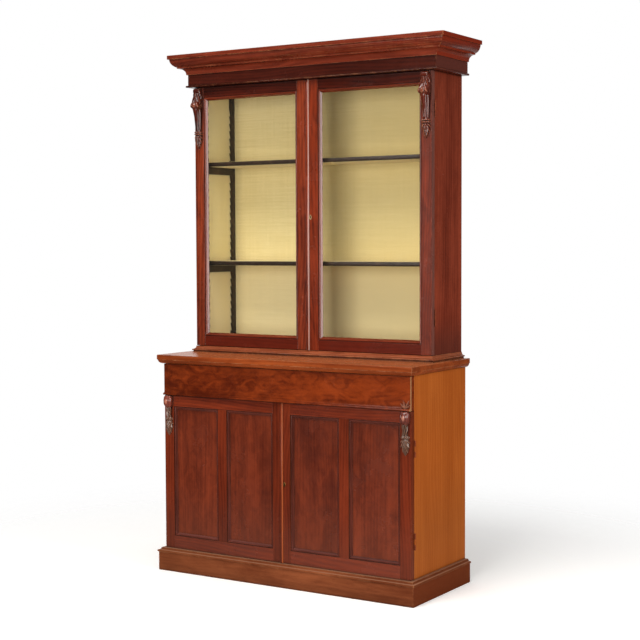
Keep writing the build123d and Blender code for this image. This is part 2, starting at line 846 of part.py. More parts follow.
def door_edges(side, half_width):
    """Distances, from the case centre along the door's side, of its meeting edge and outer edge."""
    return side * meeting_line + meeting_gap / 2, half_width


def meeting_bead(front, foot, head):
    """Rounded bead planted along the right door's meeting edge."""
    edge = meeting_line + meeting_gap / 2
    far = edge + meeting_bead_width
    quirk = meeting_bead_quirk
    section = make_face([
        Line((edge, back_y - front), (far, back_y - front)),
        Line((far, back_y - front), (far, back_y - front - quirk)),
        ThreePointArc((far, back_y - front - quirk), ((edge + far) / 2, back_y - front - meeting_bead_proud),
                      (edge, back_y - front - quirk)),
        Line((edge, back_y - front - quirk), (edge, back_y - front)),
    ])
    return Pos(0, 0, foot) * extrude(section, head - foot, dir=(0, 0, 1))


def door_frame(side, half_width, back, front, foot, head, inner, outer_stile, bottom_rail, top_rail):
    """Stiles and rails of a door, with the hinge pockets cut."""
    meet, edge = door_edges(side, half_width)
    outer = half_width - outer_stile
    hanging = board(side * outer, side * edge, back, front, foot, head)
    for level in hinge_levels(foot, head):
        hanging -= door_leaf_plate(side, half_width, back, level, pocket=True)
    closing = board(side * meet, side * inner, back, front, foot, head)
    rails = [
        board(side * inner, side * outer, back, front, foot, foot + bottom_rail),
        board(side * inner, side * outer, back, front, head - top_rail, head),
    ]
    return hanging, closing, rails


def lock_cuts(side, stile, back, front, level):
    """Cut a meeting stile for the lock case and keyhole, or for the strike."""
    if side < 0:
        return stile - lock_strike(back, level)
    stile = stile - lock_box(back, level)
    stile -= keyhole(keyhole_x(), level, 0, back, front)
    return stile - keyhole(keyhole_x(), level, escutcheon_rim, front - escutcheon_depth, front)


def door_hardware(side, half_width, depth, back, front, foot, head, case_top, lock_level):
    """Hinge leaves of a door, with the lock of a right door or the bolt of a left one."""
    levels = hinge_levels(foot, head)
    nodes = {"hinge_leaves": [door_leaf(side, half_width, depth, level) for level in levels]}
    if side > 0:
        nodes["lock"] = lock_pieces(back, front, lock_level)
        nodes["lock_bolt"] = [lock_bolt(back, lock_level, 0)]
    else:
        bolt_head = case_top - bolt_block_height - bolt_head_gap
        nodes["bolt_case"] = [bolt_case(back, bolt_head)]
        nodes["bolt_rod"] = [bolt_rod(back, bolt_head)]
    return nodes


def glazed_door(side):
    """Glazed door: frame, glass held between mouldings and beads, corbel and hardware."""
    lock_level = glazed_foot + glazed_lock_height
    hanging, closing, rails = door_frame(side, upper_half, glazed_back, glazed_front, glazed_foot,
                                         glazed_head, glazed_meeting_half, glazed_stile,
                                         glazed_bottom_rail, glazed_top_rail)
    closing = lock_cuts(side, closing, glazed_back, glazed_front, lock_level)
    stiles = [hanging, closing]
    if side > 0:
        stiles.append(meeting_bead(glazed_front, glazed_foot, glazed_head))
    opening = sorted((side * glazed_meeting_half, side * (upper_half - glazed_stile)))
    sill = glazed_foot + glazed_bottom_rail
    lintel = glazed_head - glazed_top_rail
    glass_rear = glazed_back + back_bead_depth
    glass_front = glass_rear + glass_thickness
    glass = board(opening[0] + glass_clearance, opening[1] - glass_clearance, glass_rear, glass_front,
                  sill + glass_clearance, lintel - glass_clearance)
    section = roll_section(glazing_width, glazed_front - glass_front - glazing_sunk, glazing_roll,
                           glazing_fillet)
    mouldings = mitred_frame(section, opening[0], opening[1], sill, lintel, glass_front, glazing_width, 1)
    mouldings += mitred_frame(bead_section(back_bead_width, back_bead_depth),
                              opening[0], opening[1], sill, lintel, glass_rear, back_bead_width, -1)
    corbel_x = side * (upper_half - glazed_stile / 2)
    nodes = {
        "stiles": stiles,
        "rails": rails,
        "glass": [glass],
        "mouldings": mouldings,
        "corbel": [corbel(upper_corbel, corbel_x, glazed_front, glazed_head - corbel_top_gap)],
    }
    nodes.update(door_hardware(side, upper_half, upper_depth, glazed_back, glazed_front, glazed_foot,
                               glazed_head, upper_ceiling, lock_level))
    return nodes


def panelled_door(side):
    """Panelled door: frame with a muntin, two grooved-in panels, sunk mouldings and hardware."""
    lock_level = panelled_foot + panelled_lock_height
    hanging, closing, rails = door_frame(side, base_half, panelled_back, panelled_front,
                                         panelled_foot, panelled_head, panelled_meeting_half,
                                         panelled_stile, panelled_bottom_rail, panelled_top_rail)
    closing = lock_cuts(side, closing, panelled_back, panelled_front, lock_level)
    outer = base_half - panelled_stile
    centre = (outer + panelled_meeting_half) / 2
    sill = panelled_foot + panelled_bottom_rail
    lintel = panelled_head - panelled_top_rail
    muntin = board(side * (centre - muntin_width / 2), side * (centre + muntin_width / 2),
                   panelled_back, panelled_front, sill, lintel)
    stiles = [hanging, closing, muntin]
    panel_front = panelled_front - panel_inset
    panel_rear = panel_front - panel_thickness
    tongue = panel_groove - panel_clearance
    section = roll_section(panel_moulding_width, panel_inset - panel_moulding_sunk, panel_moulding_roll,
                           panel_moulding_fillet)
    panels = []
    mouldings = []
    for near, far in ((panelled_meeting_half, centre - muntin_width / 2), (centre + muntin_width / 2, outer)):
        x0, x1 = sorted((side * near, side * far))
        panels.append(board(x0 - tongue, x1 + tongue, panel_rear + panel_clearance / 2,
                            panel_front - panel_clearance / 2, sill - tongue, lintel + tongue))
        groove = board(x0 - panel_groove, x1 + panel_groove, panel_rear, panel_front,
                       sill - panel_groove, lintel + panel_groove)
        stiles = [stile - groove for stile in stiles]
        rails = [rail - groove for rail in rails]
        mouldings += mitred_frame(section, x0, x1, sill, lintel, panel_front, panel_moulding_width, 1)
    if side > 0:
        stiles.append(meeting_bead(panelled_front, panelled_foot, panelled_head))
    corbel_x = side * (base_half - panelled_stile / 2)
    nodes = {
        "stiles": stiles,
        "rails": rails,
        "panels": panels,
        "mouldings": mouldings,
        "corbel": [corbel(lower_corbel, corbel_x, panelled_front, panelled_head - corbel_top_gap)],
    }
    nodes.update(door_hardware(side, base_half, base_depth, panelled_back, panelled_front, panelled_foot,
                               panelled_head, dust_board_under, lock_level))
    return nodes


# Frieze drawer

def drawer():
    """Drawer front with plain ends, box sides and back, and the bottom grooved into them."""
    front_plane = Plane(origin=(0, back_y - drawer_face, 0), x_dir=(0, -1, 0), z_dir=(-1, 0, 0))
    front = extrude(front_plane * drawer_front_section(), base_half - drawer_end_set, both=True)
    side_outer = base_inner - drawer_side_gap
    side_inner = side_outer - drawer_side_thickness
    foot = dust_board_level + runner_thickness + runner_gap
    head = drawer_head - drawer_head_gap
    rear = panelled_back - drawer_length
    bottom_foot = foot + drawer_bottom_lift
    bottom_head = bottom_foot + drawer_bottom_thickness
    groove = drawer_side_thickness / 2
    bottom = board(-side_inner - groove, side_inner + groove, rear, panelled_back, bottom_foot, bottom_head)
    box = []
    for side in (-1, 1):
        box.append(board(side * side_inner, side * side_outer, rear, panelled_back, foot, head) - bottom)
    box.append(board(-side_inner, side_inner, rear, rear + drawer_side_thickness, bottom_head, head))
    return {"drawer_front": [front], "drawer_box": box + [bottom]}


def drawer_support():
    """Dust board under the drawer with its runners and bolt block, and kickers under the base top."""
    rear = back_thickness
    dust_board = board(-base_inner, base_inner, rear, base_depth, dust_board_under, dust_board_level)
    pieces = [dust_board, bolt_block(panelled_back, dust_board_under)]
    for side in (-1, 1):
        near = side * (base_inner - runner_width)
        far = side * base_inner
        runner_head = dust_board_level + runner_thickness
        pieces.append(board(near, far, rear, base_depth, dust_board_level, runner_head))
        pieces.append(board(near, far, rear, base_depth, base_top_under - kicker_height, base_top_under))
    return pieces


# The whole bookcase, one entry for each node

def all_nodes():
    """Every node of the bookcase with its solids."""
    upper_hinges = hinge_levels(glazed_foot, glazed_head)
    base_hinges = hinge_levels(panelled_foot, panelled_head)
    ceiling = board(-upper_inner, upper_inner, back_thickness, upper_depth, upper_ceiling, upper_head)
    shelf_head = base_floor_level + cupboard_shelf_height
    top_shelf_board, top_shelf_lipping = shelf(top_shelf_tooth)
    middle_shelf_board, middle_shelf_lipping = shelf(middle_shelf_tooth)
    linings = [board(-upper_inner, upper_inner, back_thickness, lined_back, upper_floor_level, upper_ceiling)]
    case_leaves = []
    for side in (-1, 1):
        linings.append(board(side * lined_half, side * upper_inner, lined_back,
                             upper_depth - lining_thickness, upper_floor_level, upper_ceiling))
        case_leaves += [case_leaf(side, upper_half, upper_depth, level) for level in upper_hinges]
        case_leaves += [case_leaf(side, base_half, base_depth, level) for level in base_hinges]
    nodes = {
        "plinth_boards": plinth_boards(),
        "plinth_moulding": mitred_run(plinth_moulding_section(), plinth_half, plinth_face,
                                      plinth_moulding_width - plinth_moulding_nose, plinth_moulding_nose,
                                      plinth_height, plinth_top),
        "base_side_left": [case_side(-1, base_half, base_depth, plinth_top, base_top_under, base_hinges)],
        "base_side_right": [case_side(1, base_half, base_depth, plinth_top, base_top_under, base_hinges)],
        "base_floor": [board(-base_inner, base_inner, back_thickness, base_depth,
                             plinth_top, base_floor_level)],
        "base_back_boards": back_boards(base_inner, plinth_top, base_top_under),
        "base_top": [moulded_slab(base_top_section, base_half + base_top_side_overhang, base_top_front)],
        "cupboard_shelf": [board(-base_inner, base_inner, back_thickness, cupboard_shelf_depth,
                                 shelf_head - cupboard_shelf_thickness, shelf_head)],
        "drawer_support": drawer_support(),
        "upper_side_left": [case_side(-1, upper_half, upper_depth, base_top_level, upper_head, upper_hinges)],
        "upper_side_right": [case_side(1, upper_half, upper_depth, base_top_level, upper_head, upper_hinges)],
        "upper_floor": [board(-upper_inner, upper_inner, back_thickness, upper_depth,
                              upper_floor_under, upper_floor_level)],
        "upper_ceiling": [ceiling, bolt_block(glazed_back, upper_ceiling)],
        "upper_back_boards": back_boards(upper_inner, base_top_level, upper_head),
        "upper_foot_moulding": foot_moulding(),
        "cloth_lining": linings,
        "shelf_racks": shelf_racks(),
        "shelf_bearers": shelf_bearers(),
        "top_shelf_board": [top_shelf_board],
        "top_shelf_lipping": [top_shelf_lipping],
        "middle_shelf_board": [middle_shelf_board],
        "middle_shelf_lipping": [middle_shelf_lipping],
        "cornice_frieze": cornice_frieze(),
        "cornice_crown": mitred_run(crown_section(), frieze_half, frieze_face, 0, crown_projection,
                                    crown_level, cornice_top),
        "cornice_dust_cover": [board(-frieze_half, frieze_half, 0, frieze_face,
                                     cornice_top - dust_cover_thickness, cornice_top)],
        "case_hinge_leaves": case_leaves,
    }
    nodes.update(drawer())
    for side, hand in ((-1, "left"), (1, "right")):
        for name, solids in glazed_door(side).items():
            nodes["glazed_" + hand + "_" + name] = solids
        for name, solids in panelled_door(side).items():
            nodes["panelled_" + hand + "_" + name] = solids
    return nodes


os.makedirs("parts", exist_ok=True)
for node_name, node_solids in all_nodes().items():
    group = [solid for shape in node_solids for solid in shape.solids()]
    shape = group[0] if len(group) == 1 else Compound(children=group)
    export_step(shape, "parts/" + node_name + ".step")
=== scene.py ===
import math

import bpy
import numpy as np
from mathutils import Matrix, Vector


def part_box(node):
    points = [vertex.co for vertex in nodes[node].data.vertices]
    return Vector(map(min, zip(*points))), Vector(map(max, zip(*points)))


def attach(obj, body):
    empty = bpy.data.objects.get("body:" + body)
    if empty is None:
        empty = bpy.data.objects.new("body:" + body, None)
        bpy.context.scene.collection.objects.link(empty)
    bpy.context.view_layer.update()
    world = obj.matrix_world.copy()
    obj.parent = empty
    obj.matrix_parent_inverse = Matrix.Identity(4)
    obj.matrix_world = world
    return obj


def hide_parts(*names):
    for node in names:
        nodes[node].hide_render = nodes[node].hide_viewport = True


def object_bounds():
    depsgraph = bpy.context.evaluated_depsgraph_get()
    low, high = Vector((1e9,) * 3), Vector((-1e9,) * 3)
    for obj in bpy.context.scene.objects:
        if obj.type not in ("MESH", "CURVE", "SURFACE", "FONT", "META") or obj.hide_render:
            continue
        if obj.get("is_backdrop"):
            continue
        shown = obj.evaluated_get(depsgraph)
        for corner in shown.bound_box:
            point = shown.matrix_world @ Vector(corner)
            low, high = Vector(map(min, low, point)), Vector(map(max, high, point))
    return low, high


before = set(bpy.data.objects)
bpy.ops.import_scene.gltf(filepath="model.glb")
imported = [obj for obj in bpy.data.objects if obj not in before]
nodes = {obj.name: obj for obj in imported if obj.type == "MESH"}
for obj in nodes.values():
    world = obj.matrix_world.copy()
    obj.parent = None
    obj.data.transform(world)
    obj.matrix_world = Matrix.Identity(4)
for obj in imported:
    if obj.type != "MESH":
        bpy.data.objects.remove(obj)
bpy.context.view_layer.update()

# Node helpers

def linear(colour):
    # sRGB 0..255 to the linear RGBA that a socket takes
    c = np.array(colour[:3], float) / 255
    c = np.where(c <= 0.04045, c / 12.92, ((c + 0.055) / 1.055) ** 2.4)
    return (*c.tolist(), 1.0)


def fill(tree, node, sockets):
    # another node's output is linked to the socket, anything else is set on it
    for key, value in sockets.items():
        if isinstance(value, bpy.types.NodeSocket):
            tree.links.new(value, node.inputs[key])
        else:
            node.inputs[key].default_value = value


def put(tree, kind, sockets=None, **settings):
    node = tree.nodes.new("ShaderNode" + kind)
    for key, value in settings.items():
        setattr(node, key, value)
    fill(tree, node, sockets or {})
    return node


def newMaterial(name):
    material = bpy.data.materials.new(name)
    material.use_nodes = True
    tree = material.node_tree
    tree.nodes.clear()
    shader = put(tree, "BsdfPrincipled")
    put(tree, "OutputMaterial", {0: shader.outputs[0]})
    return material, tree, shader


def calc(tree, operation, a, b=0.0):
    return put(tree, "Math", {0: a, 1: b}, operation=operation).outputs[0]


def weighted(tree, a, shareA, b, shareB):
    # a and b, each times its share, added up
    return calc(tree, "ADD", calc(tree, "MULTIPLY", a, shareA), calc(tree, "MULTIPLY", b, shareB))


def vectorCalc(tree, operation, a, b):
    return put(tree, "VectorMath", {0: a, 1: b}, operation=operation).outputs[0]


def agreement(tree, a, b):
    # 1 where two directions are the same, 0 where they are square to each other
    return put(tree, "VectorMath", {0: a, 1: b}, operation="DOT_PRODUCT").outputs["Value"]


def coordinate(tree, vector, axis):
    return put(tree, "SeparateXYZ", {0: vector}).outputs["xyz".index(axis)]


def mixColour(tree, factor, a, b, blend="MIX"):
    node = put(tree, "Mix", {0: factor, 6: a, 7: b}, data_type="RGBA", blend_type=blend)
    return node.outputs[2]


def shaded(tree, colour, value):
    # the colour times a grey value
    grey = put(tree, "CombineColor", {0: value, 1: value, 2: value}).outputs[0]
    return mixColour(tree, 1.0, colour, grey, "MULTIPLY")


def remap(tree, value, low, high, newLow=0.0, newHigh=1.0, smooth=False):
    kind = "SMOOTHSTEP" if smooth else "LINEAR"
    sockets = {0: value, 1: low, 2: high, 3: newLow, 4: newHigh}
    return put(tree, "MapRange", sockets, interpolation_type=kind).outputs[0]


def noise(tree, vector, scale=1.0, detail=3.0, roughness=0.5, distortion=0.0):
    sockets = {"Vector": vector, "Scale": scale, "Detail": detail, "Roughness": roughness,
               "Distortion": distortion}
    return put(tree, "TexNoise", sockets).outputs["Fac"]


def openness(tree, distance, samples):
    # 1 on open faces, less in corners that are narrower than the distance
    return put(tree, "AmbientOcclusion", {"Distance": distance}, samples=samples).outputs["AO"]


def bumped(tree, height, strength, distance):
    return put(tree, "Bump", {"Strength": strength, "Distance": distance, "Height": height}).outputs[0]


# Grain space: x and y across the grain, z along it, in metres

def grainSpace(tree, along, mitre=None):
    place = put(tree, "TexCoord").outputs["Object"]
    parts = put(tree, "SeparateXYZ", {0: place}).outputs
    order = {"x": (1, 2, 0), "y": (0, 2, 1), "z": (0, 1, 2)}

    def arranged(axis):
        a, b, c = order[axis]
        return put(tree, "CombineXYZ", {0: parts[a], 1: parts[b], 2: parts[c]}).outputs[0]

    first = arranged(along)
    if mitre is None:
        return place, first
    # on a mitred frame the grain turns where one member's outer edge is nearer than the other's
    turned = arranged(mitre["other"])
    reach = []
    for axis, centre, half, pair in mitre["edges"]:
        distance = calc(tree, "ABSOLUTE", calc(tree, "SUBTRACT", parts["xyz".index(axis)], centre))
        if pair:
            distance = calc(tree, "ABSOLUTE", calc(tree, "SUBTRACT", distance, pair))
        reach.append(calc(tree, "SUBTRACT", distance, half))
    other = calc(tree, "GREATER_THAN", reach[0], reach[1])
    grain = put(tree, "Mix", {0: other, 4: first, 5: turned}, data_type="VECTOR").outputs[1]
    return place, grain


def stretched(tree, grain, across, along, shift=0.0):
    scaled = vectorCalc(tree, "MULTIPLY", grain, (across, across, along))
    return vectorCalc(tree, "ADD", scaled, (shift, shift * 0.7, shift * 1.3))


def runMitre(node):
    # front and side runs round a case: the mitre plane leaves the outer front corner at 45 degrees
    low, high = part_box(node)
    return {"other": "y", "edges": [("x", 0.0, high[0] + low[1], 0.0), ("y", 1.0, 1.0, 0.0)]}


def frameMitre(node, pair=0.0):
    # the frame planted round a door's glass, or round its two panels, each pair from the door's middle
    low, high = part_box(node)
    half = (high[0] - low[0]) / 2 - pair
    across = ("x", (low[0] + high[0]) / 2, half, pair)
    return {"other": "x", "edges": [("z", (low[2] + high[2]) / 2, (high[2] - low[2]) / 2, 0.0), across]}


def growthLines(tree, grain, drift, count, wander):
    # a sine wave across the grain, carried to and fro by the drift
    parts = put(tree, "SeparateXYZ", {0: grain}).outputs
    across = calc(tree, "ADD", parts[0], parts[1])
    return calc(tree, "SINE", weighted(tree, across, count, drift, wander))


# Polished mahogany: broad tone, ribbon stripe, growth lines, pores, painted shade and dirt in the corners, rubbed
# edges, and painted highlights and shade on some faces

def mahogany(name, finish, mitre=None):
    material, tree, shader = newMaterial(name)
    place, grain = grainSpace(tree, finish["grain"], mitre)
    if finish["board"]:
        # each board has its own piece of the figure
        number = calc(tree, "FLOOR", calc(tree, "DIVIDE", coordinate(tree, place, "x"), finish["board"]))
        jump = put(tree, "CombineXYZ", {2: calc(tree, "MULTIPLY", number, finish["jump"])}).outputs[0]
        grain = vectorCalc(tree, "ADD", grain, jump)
    shift = finish["shift"]
    broad = noise(tree, stretched(tree, grain, *finish["bands"], shift), detail=4.0, distortion=0.6)
    ribbon = noise(tree, stretched(tree, grain, *finish["ribbon"], shift), roughness=0.6)
    flame = noise(tree, stretched(tree, grain, *finish["cloud"], shift + 3.0), detail=5.0, roughness=0.6,
                  distortion=1.4)
    drift = noise(tree, stretched(tree, grain, *finish["drift"], shift + 7.0), detail=2.0)
    lines = remap(tree, growthLines(tree, grain, drift, *finish["lines"]), -1.0, 1.0)
    pores = noise(tree, stretched(tree, grain, *finish["pores"], shift), detail=2.0)
    pores = remap(tree, pores, 0.58, 0.72, smooth=True)
    streak = finish["streak"]
    tone = weighted(tree, broad, 0.9 - streak, ribbon, streak)
    tone = calc(tree, "ADD", tone, calc(tree, "MULTIPLY", lines, finish["rings"]))
    figured = calc(tree, "SUBTRACT", flame, 0.5)
    tone = calc(tree, "ADD", tone, calc(tree, "MULTIPLY", figured, finish["figure"]))
    tone = remap(tree, tone, 0.25, 0.75, smooth=True)
    colour = mixColour(tree, tone, linear(finish["dark"]), linear(finish["light"]))
    age = finish["age"]
    blotch = remap(tree, noise(tree, place, scale=2.2), 0.3, 0.7, 1.0 - age, 1.0 + age * 0.6)
    colour = shaded(tree, colour, blotch)

    def tinted(amount, tint):
        return mixColour(tree, amount, colour, linear(tint))

    colour = tinted(calc(tree, "MULTIPLY", pores, 0.4), finish["pore"])
    # painted shade and dirt: corners narrower than the reach are darkened towards the dark corner colour
    dirtAndShade = remap(tree, openness(tree, finish["reach"], 8), 0.3, 0.86, finish["dirtAndShade"], 0.0)
    colour = tinted(dirtAndShade, finish["grimeAndShade"])
    rounded = put(tree, "Bevel", {"Radius": finish["rub"]}, samples=4).outputs[0]
    shape = put(tree, "NewGeometry").outputs
    edge = remap(tree, agreement(tree, rounded, shape["Normal"]), 0.995, 0.86)
    patches = noise(tree, place, scale=26.0, detail=4.0, roughness=0.65)
    rubbed = calc(tree, "MULTIPLY", edge, remap(tree, patches, 0.42, 0.66))
    colour = tinted(calc(tree, "MULTIPLY", rubbed, finish["wear"]), finish["wornAndHighlight"])
    if finish["toned"]:
        # one end takes another colour along this axis: painted light and shade on the rails and on the right door's
        # outer stile, a plain colour shift elsewhere
        axis, start, end, tint, amount = finish["toned"]
        changed = remap(tree, coordinate(tree, place, axis), start, end, 0.0, amount, smooth=True)
        colour = tinted(changed, tint)
    if finish["crest"]:
        # carving is painted pale on its crests, as painted highlight and wear, and painted dark in its hollows as
        # painted shade
        point = shape["Pointiness"]
        colour = tinted(remap(tree, point, 0.512, 0.555, 0.0, finish["crest"]), finish["wornAndHighlight"])
        colour = tinted(remap(tree, point, 0.495, 0.467, 0.0, 0.95), finish["grimeAndShade"])
    if finish["touchAndHighlight"]:
        # what stands out furthest is painted paler, as painted highlight and rubbing
        start, end, amount = finish["touchAndHighlight"]
        touchedAndLit = remap(tree, coordinate(tree, place, "y"), start, end, 0.0, amount, smooth=True)
        colour = tinted(touchedAndLit, finish["wornAndHighlight"])
    if finish["facingTint"]:
        # faces turned one way take another colour: painted highlights on the bead stiles and the plinth moulding's
        # top, painted light on the base top, painted shade on the sides of the crown and the plinth, a lighter side
        # on the frieze and pale end grain on the drawer front
        facingTint = finish["facingTint"]
        turned = agreement(tree, put(tree, "TexCoord").outputs["Normal"], facingTint["facing"])
        if facingTint["both"]:
            turned = calc(tree, "ABSOLUTE", turned)
        amount = remap(tree, turned, 0.8, 0.97, 0.0, facingTint["amount"], smooth=True)
        if "endsAt" in facingTint:
            end = facingTint["endsAt"]
            before = remap(tree, coordinate(tree, place, "y"), end, end + 0.002, 1.0, 0.0)
            amount = calc(tree, "MULTIPLY", amount, before)
        colour = tinted(amount, facingTint["tint"])
    smear = noise(tree, place, scale=7.0, detail=4.0, roughness=0.6)
    rough = remap(tree, smear, 0.3, 0.7, *finish["polish"])
    rough = calc(tree, "ADD", rough, calc(tree, "MULTIPLY", dirtAndShade, 0.25))
    height = weighted(tree, ribbon, 0.25, pores, -0.5)
    fill(tree, shader, {"Base Color": colour, "Roughness": rough, "Normal": bumped(tree, height, 0.3, 0.0003),
                        "Specular IOR Level": finish["shine"]})
    return material


# colours are sRGB, lengths metres; a pair of scales is across and along the grain
# corners narrower than reach are darkened as painted shade and dirt, wear shows on edges within rub, and the keys for
# facing, an axis, carved crests and what stands out change the colour, partly as painted highlights and shade
polished = {
    "grain": "z", "shift": 0.0, "board": 0.0, "jump": 3.7, "dark": (64, 17, 6), "light": (138, 53, 25), "figure": 0.3,
    "bands": (9.0, 0.9), "cloud": (20.0, 6.0), "ribbon": (85.0, 1.6), "drift": (3.0, 0.7), "pores": (1500.0, 45.0),
    "lines": (420.0, 90.0), "streak": 0.3, "rings": 0.1, "age": 0.14, "pore": (40, 11, 5),
    "grimeAndShade": (18, 7, 4), "dirtAndShade": 0.9, "reach": 0.014, "wornAndHighlight": (150, 80, 50), "wear": 0.35, "rub": 0.0022,
    "polish": (0.20, 0.30), "shine": 0.35, "facingTint": None, "crest": 0.0, "toned": None, "touchAndHighlight": None,
}
sideways, upwards = (1.0, 0.0, 0.0), (0.0, 0.0, 1.0)
drawerEndDepth = 0.019
drawerEnd = {"facing": sideways, "both": True, "tint": (172, 126, 84), "amount": 0.75,
             "endsAt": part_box("drawer_front")[0][1] + drawerEndDepth}
# a painted highlight on bead faces turned to the right front, where the light on the right is reflected
beadHighlight = {"facing": (0.84, -0.54, 0.0), "both": False, "tint": (186, 148, 136), "amount": 0.7}
dulled = ("z", 0.40, 0.10, (82, 46, 35), 0.4)
# painted light: faces turned upwards are painted lighter
topLit = {"facing": upwards, "both": False, "tint": (190, 112, 70), "amount": 0.5}


def outerPart(node, share):
    # depths of the part beyond this share of the projection, in metres
    low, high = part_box(node)
    return high[1] - share * (high[1] - low[1]), low[1] + 0.001


finishes = {
    "upperSide": dict(polished, shift=1.7, dark=(88, 31, 18), light=(138, 60, 39), shine=0.05,
                      toned=("z", 1.13, 0.99, (70, 38, 32), 0.45)),
    "stile": dict(polished, shift=4.1, dark=(58, 15, 7), light=(136, 54, 27), figure=0.45),
    # the right door's outer stile is painted pinker as a painted sheen
    "beadStile": dict(polished, shift=6.3, dark=(54, 13, 4), light=(124, 44, 19), figure=0.6, facingTint=beadHighlight,
                      toned=("x", 0.49, 0.54, (196, 104, 86), 0.10)),
    # the rails' dark colours hold painted shade under the cornice, and the rails below 1.2 m are painted lighter and
    # redder as painted light
    "rail": dict(polished, grain="x", shift=9.3, dark=(30, 6, 2), light=(76, 22, 9),
                 toned=("z", 1.6, 1.2, (200, 64, 30), 0.085)),
    "lowerStile": dict(polished, shift=29.6, dark=(66, 20, 9), light=(114, 43, 21), shine=0.12, toned=dulled),
    # the lower meeting bead gets the same painted highlight in a warmer colour
    "lowerBeadStile": dict(polished, shift=30.9, dark=(66, 20, 9), light=(114, 43, 21), shine=0.12, toned=dulled,
                           facingTint=dict(beadHighlight, tint=(158, 80, 42), amount=0.8)),
    "lowerRail": dict(polished, grain="x", shift=33.8, dark=(74, 22, 9), light=(128, 48, 21), toned=dulled),
    "base": dict(polished, shift=12.4, dark=(150, 71, 19), light=(178, 95, 36), figure=0.1, age=0.08,
                 pore=(112, 50, 14), grimeAndShade=(86, 38, 12), wear=0.3, wornAndHighlight=(206, 146, 84), shine=0.03,
                 polish=(0.36, 0.48), toned=("z", 0.60, 0.20, (123, 73, 34), 0.35)),
    "panel": dict(polished, shift=15.2, board=0.302, dark=(68, 22, 10), light=(120, 48, 24), figure=0.35, streak=0.26,
                  rings=0.04, bands=(8.0, 1.8), cloud=(26.0, 16.0), toned=("z", 0.45, 0.10, (104, 52, 32), 0.3)),
    "drawer": dict(polished, grain="x", shift=18.5, dark=(74, 22, 5), light=(132, 52, 16), figure=0.75, streak=0.06,
                   rings=0.03, bands=(5.0, 2.2), cloud=(24.0, 13.0), shine=0.15, facingTint=drawerEnd),
    "top": dict(polished, grain="x", shift=21.0, dark=(100, 39, 14), light=(154, 73, 32), figure=0.3, wear=0.6,
                rub=0.004, wornAndHighlight=(196, 140, 98), shine=0.1, facingTint=topLit),
    # the carvings get painted highlights on their crests and on what stands out, and painted shade in their hollows
    "carved": dict(polished, shift=37.1, dark=(36, 10, 6), light=(88, 31, 17), grimeAndShade=(14, 5, 4), dirtAndShade=1.0,
                   reach=0.018, polish=(0.13, 0.2), shine=0.5, wear=0.2, wornAndHighlight=(190, 116, 86), crest=0.65,
                   touchAndHighlight=(*outerPart("glazed_left_corbel", 0.72), 0.15)),
    "carvedLower": dict(polished, shift=38.6, dark=(78, 28, 18), light=(132, 58, 40), grimeAndShade=(26, 13, 9), dirtAndShade=1.0,
                        reach=0.014, polish=(0.2, 0.28), shine=0.8, wear=0.2, wornAndHighlight=(214, 150, 124), crest=0.35,
                        toned=("z", 0.722, 0.710, (80, 60, 43), 0.75),
                        touchAndHighlight=(*outerPart("panelled_left_corbel", 0.86), 0.5)),
    "spray": dict(polished, shift=53.7, dark=(98, 36, 18), light=(150, 66, 38), grimeAndShade=(40, 18, 10), dirtAndShade=1.0,
                  reach=0.010, wear=0.4, wornAndHighlight=(214, 150, 118), crest=0.5),
}
# mouldings and runs that are mitred at their corners
# the crown's side faces are painted darker and redder, as painted shade against the reflection they catch
cornice = dict(polished, grain="x", shift=41.0, dark=(78, 25, 13), light=(138, 56, 34), shine=0.2, wear=0.75,
               rub=0.004, wornAndHighlight=(170, 112, 74),
               facingTint={"facing": sideways, "both": True, "tint": (126, 34, 6), "amount": 0.75})
frieze = dict(cornice, dark=(40, 11, 6), light=(76, 27, 16), rub=0.0022,
              facingTint={"facing": sideways, "both": True, "tint": (98, 50, 40), "amount": 0.6})
# the plinth's side faces are painted darker, as painted shade against the reflection they catch
plinthRun = dict(polished, grain="x", shift=45.0, dark=(84, 39, 20), light=(130, 72, 43), shine=0.02, streak=0.18,
                 rings=0.03, bands=(7.0, 1.8), polish=(0.34, 0.46), wear=0.6, rub=0.005, wornAndHighlight=(168, 118, 80),
                 toned=("z", 0.06, 0.0, (66, 36, 22), 0.35),
                 facingTint={"facing": sideways, "both": True, "tint": (98, 42, 17), "amount": 0.65})
# the plinth moulding's upward faces get a painted highlight
plinthTop = dict(plinthRun, facingTint={"facing": upwards, "both": False, "tint": (160, 116, 90), "amount": 0.6})
moulding = dict(polished, shift=49.0, dark=(66, 19, 9), light=(122, 48, 27), reach=0.006, polish=(0.10, 0.18),
                shine=0.45)
panelMoulding = dict(moulding, dark=(50, 18, 11), light=(96, 44, 33), grimeAndShade=(20, 7, 4), reach=0.007, dirtAndShade=1.0)
footRun = dict(cornice, shift=57.0, dark=(104, 46, 24), light=(160, 86, 54), facingTint=None)
panelPair = 0.14075  # from a door's middle to the middle of each panel
mitredFinishes = {
    "cornice_frieze": (frieze, runMitre("cornice_frieze")),
    "cornice_crown": (cornice, runMitre("cornice_crown")),
    "plinth_boards": (plinthRun, runMitre("plinth_boards")),
    "plinth_moulding": (plinthTop, runMitre("plinth_moulding")),
    "upper_foot_moulding": (footRun, runMitre("upper_foot_moulding")),
    "glazed_left_mouldings": (moulding, frameMitre("glazed_left_mouldings")),
    "glazed_right_mouldings": (moulding, frameMitre("glazed_right_mouldings")),
    "panelled_left_mouldings": (panelMoulding, frameMitre("panelled_left_mouldings", panelPair)),
    "panelled_right_mouldings": (panelMoulding, frameMitre("panelled_right_mouldings", panelPair)),
}


# Bare pine of the hidden boards

pineSet = {"pale": (178, 138, 92), "late": (128, 86, 50), "stain": (84, 58, 38), "grimeAndShade": (44, 30, 20),
           "drift": (4.0, 0.5), "lines": (260.0, 160.0), "streak": (160.0, 3.0), "shade": (0.82, 1.08),
           "jump": (0.37, 2.9)}
pineBoards = {"upper": 0.142825, "base": 0.147575, "level": 0.1421}  # widths with the joint, in metres


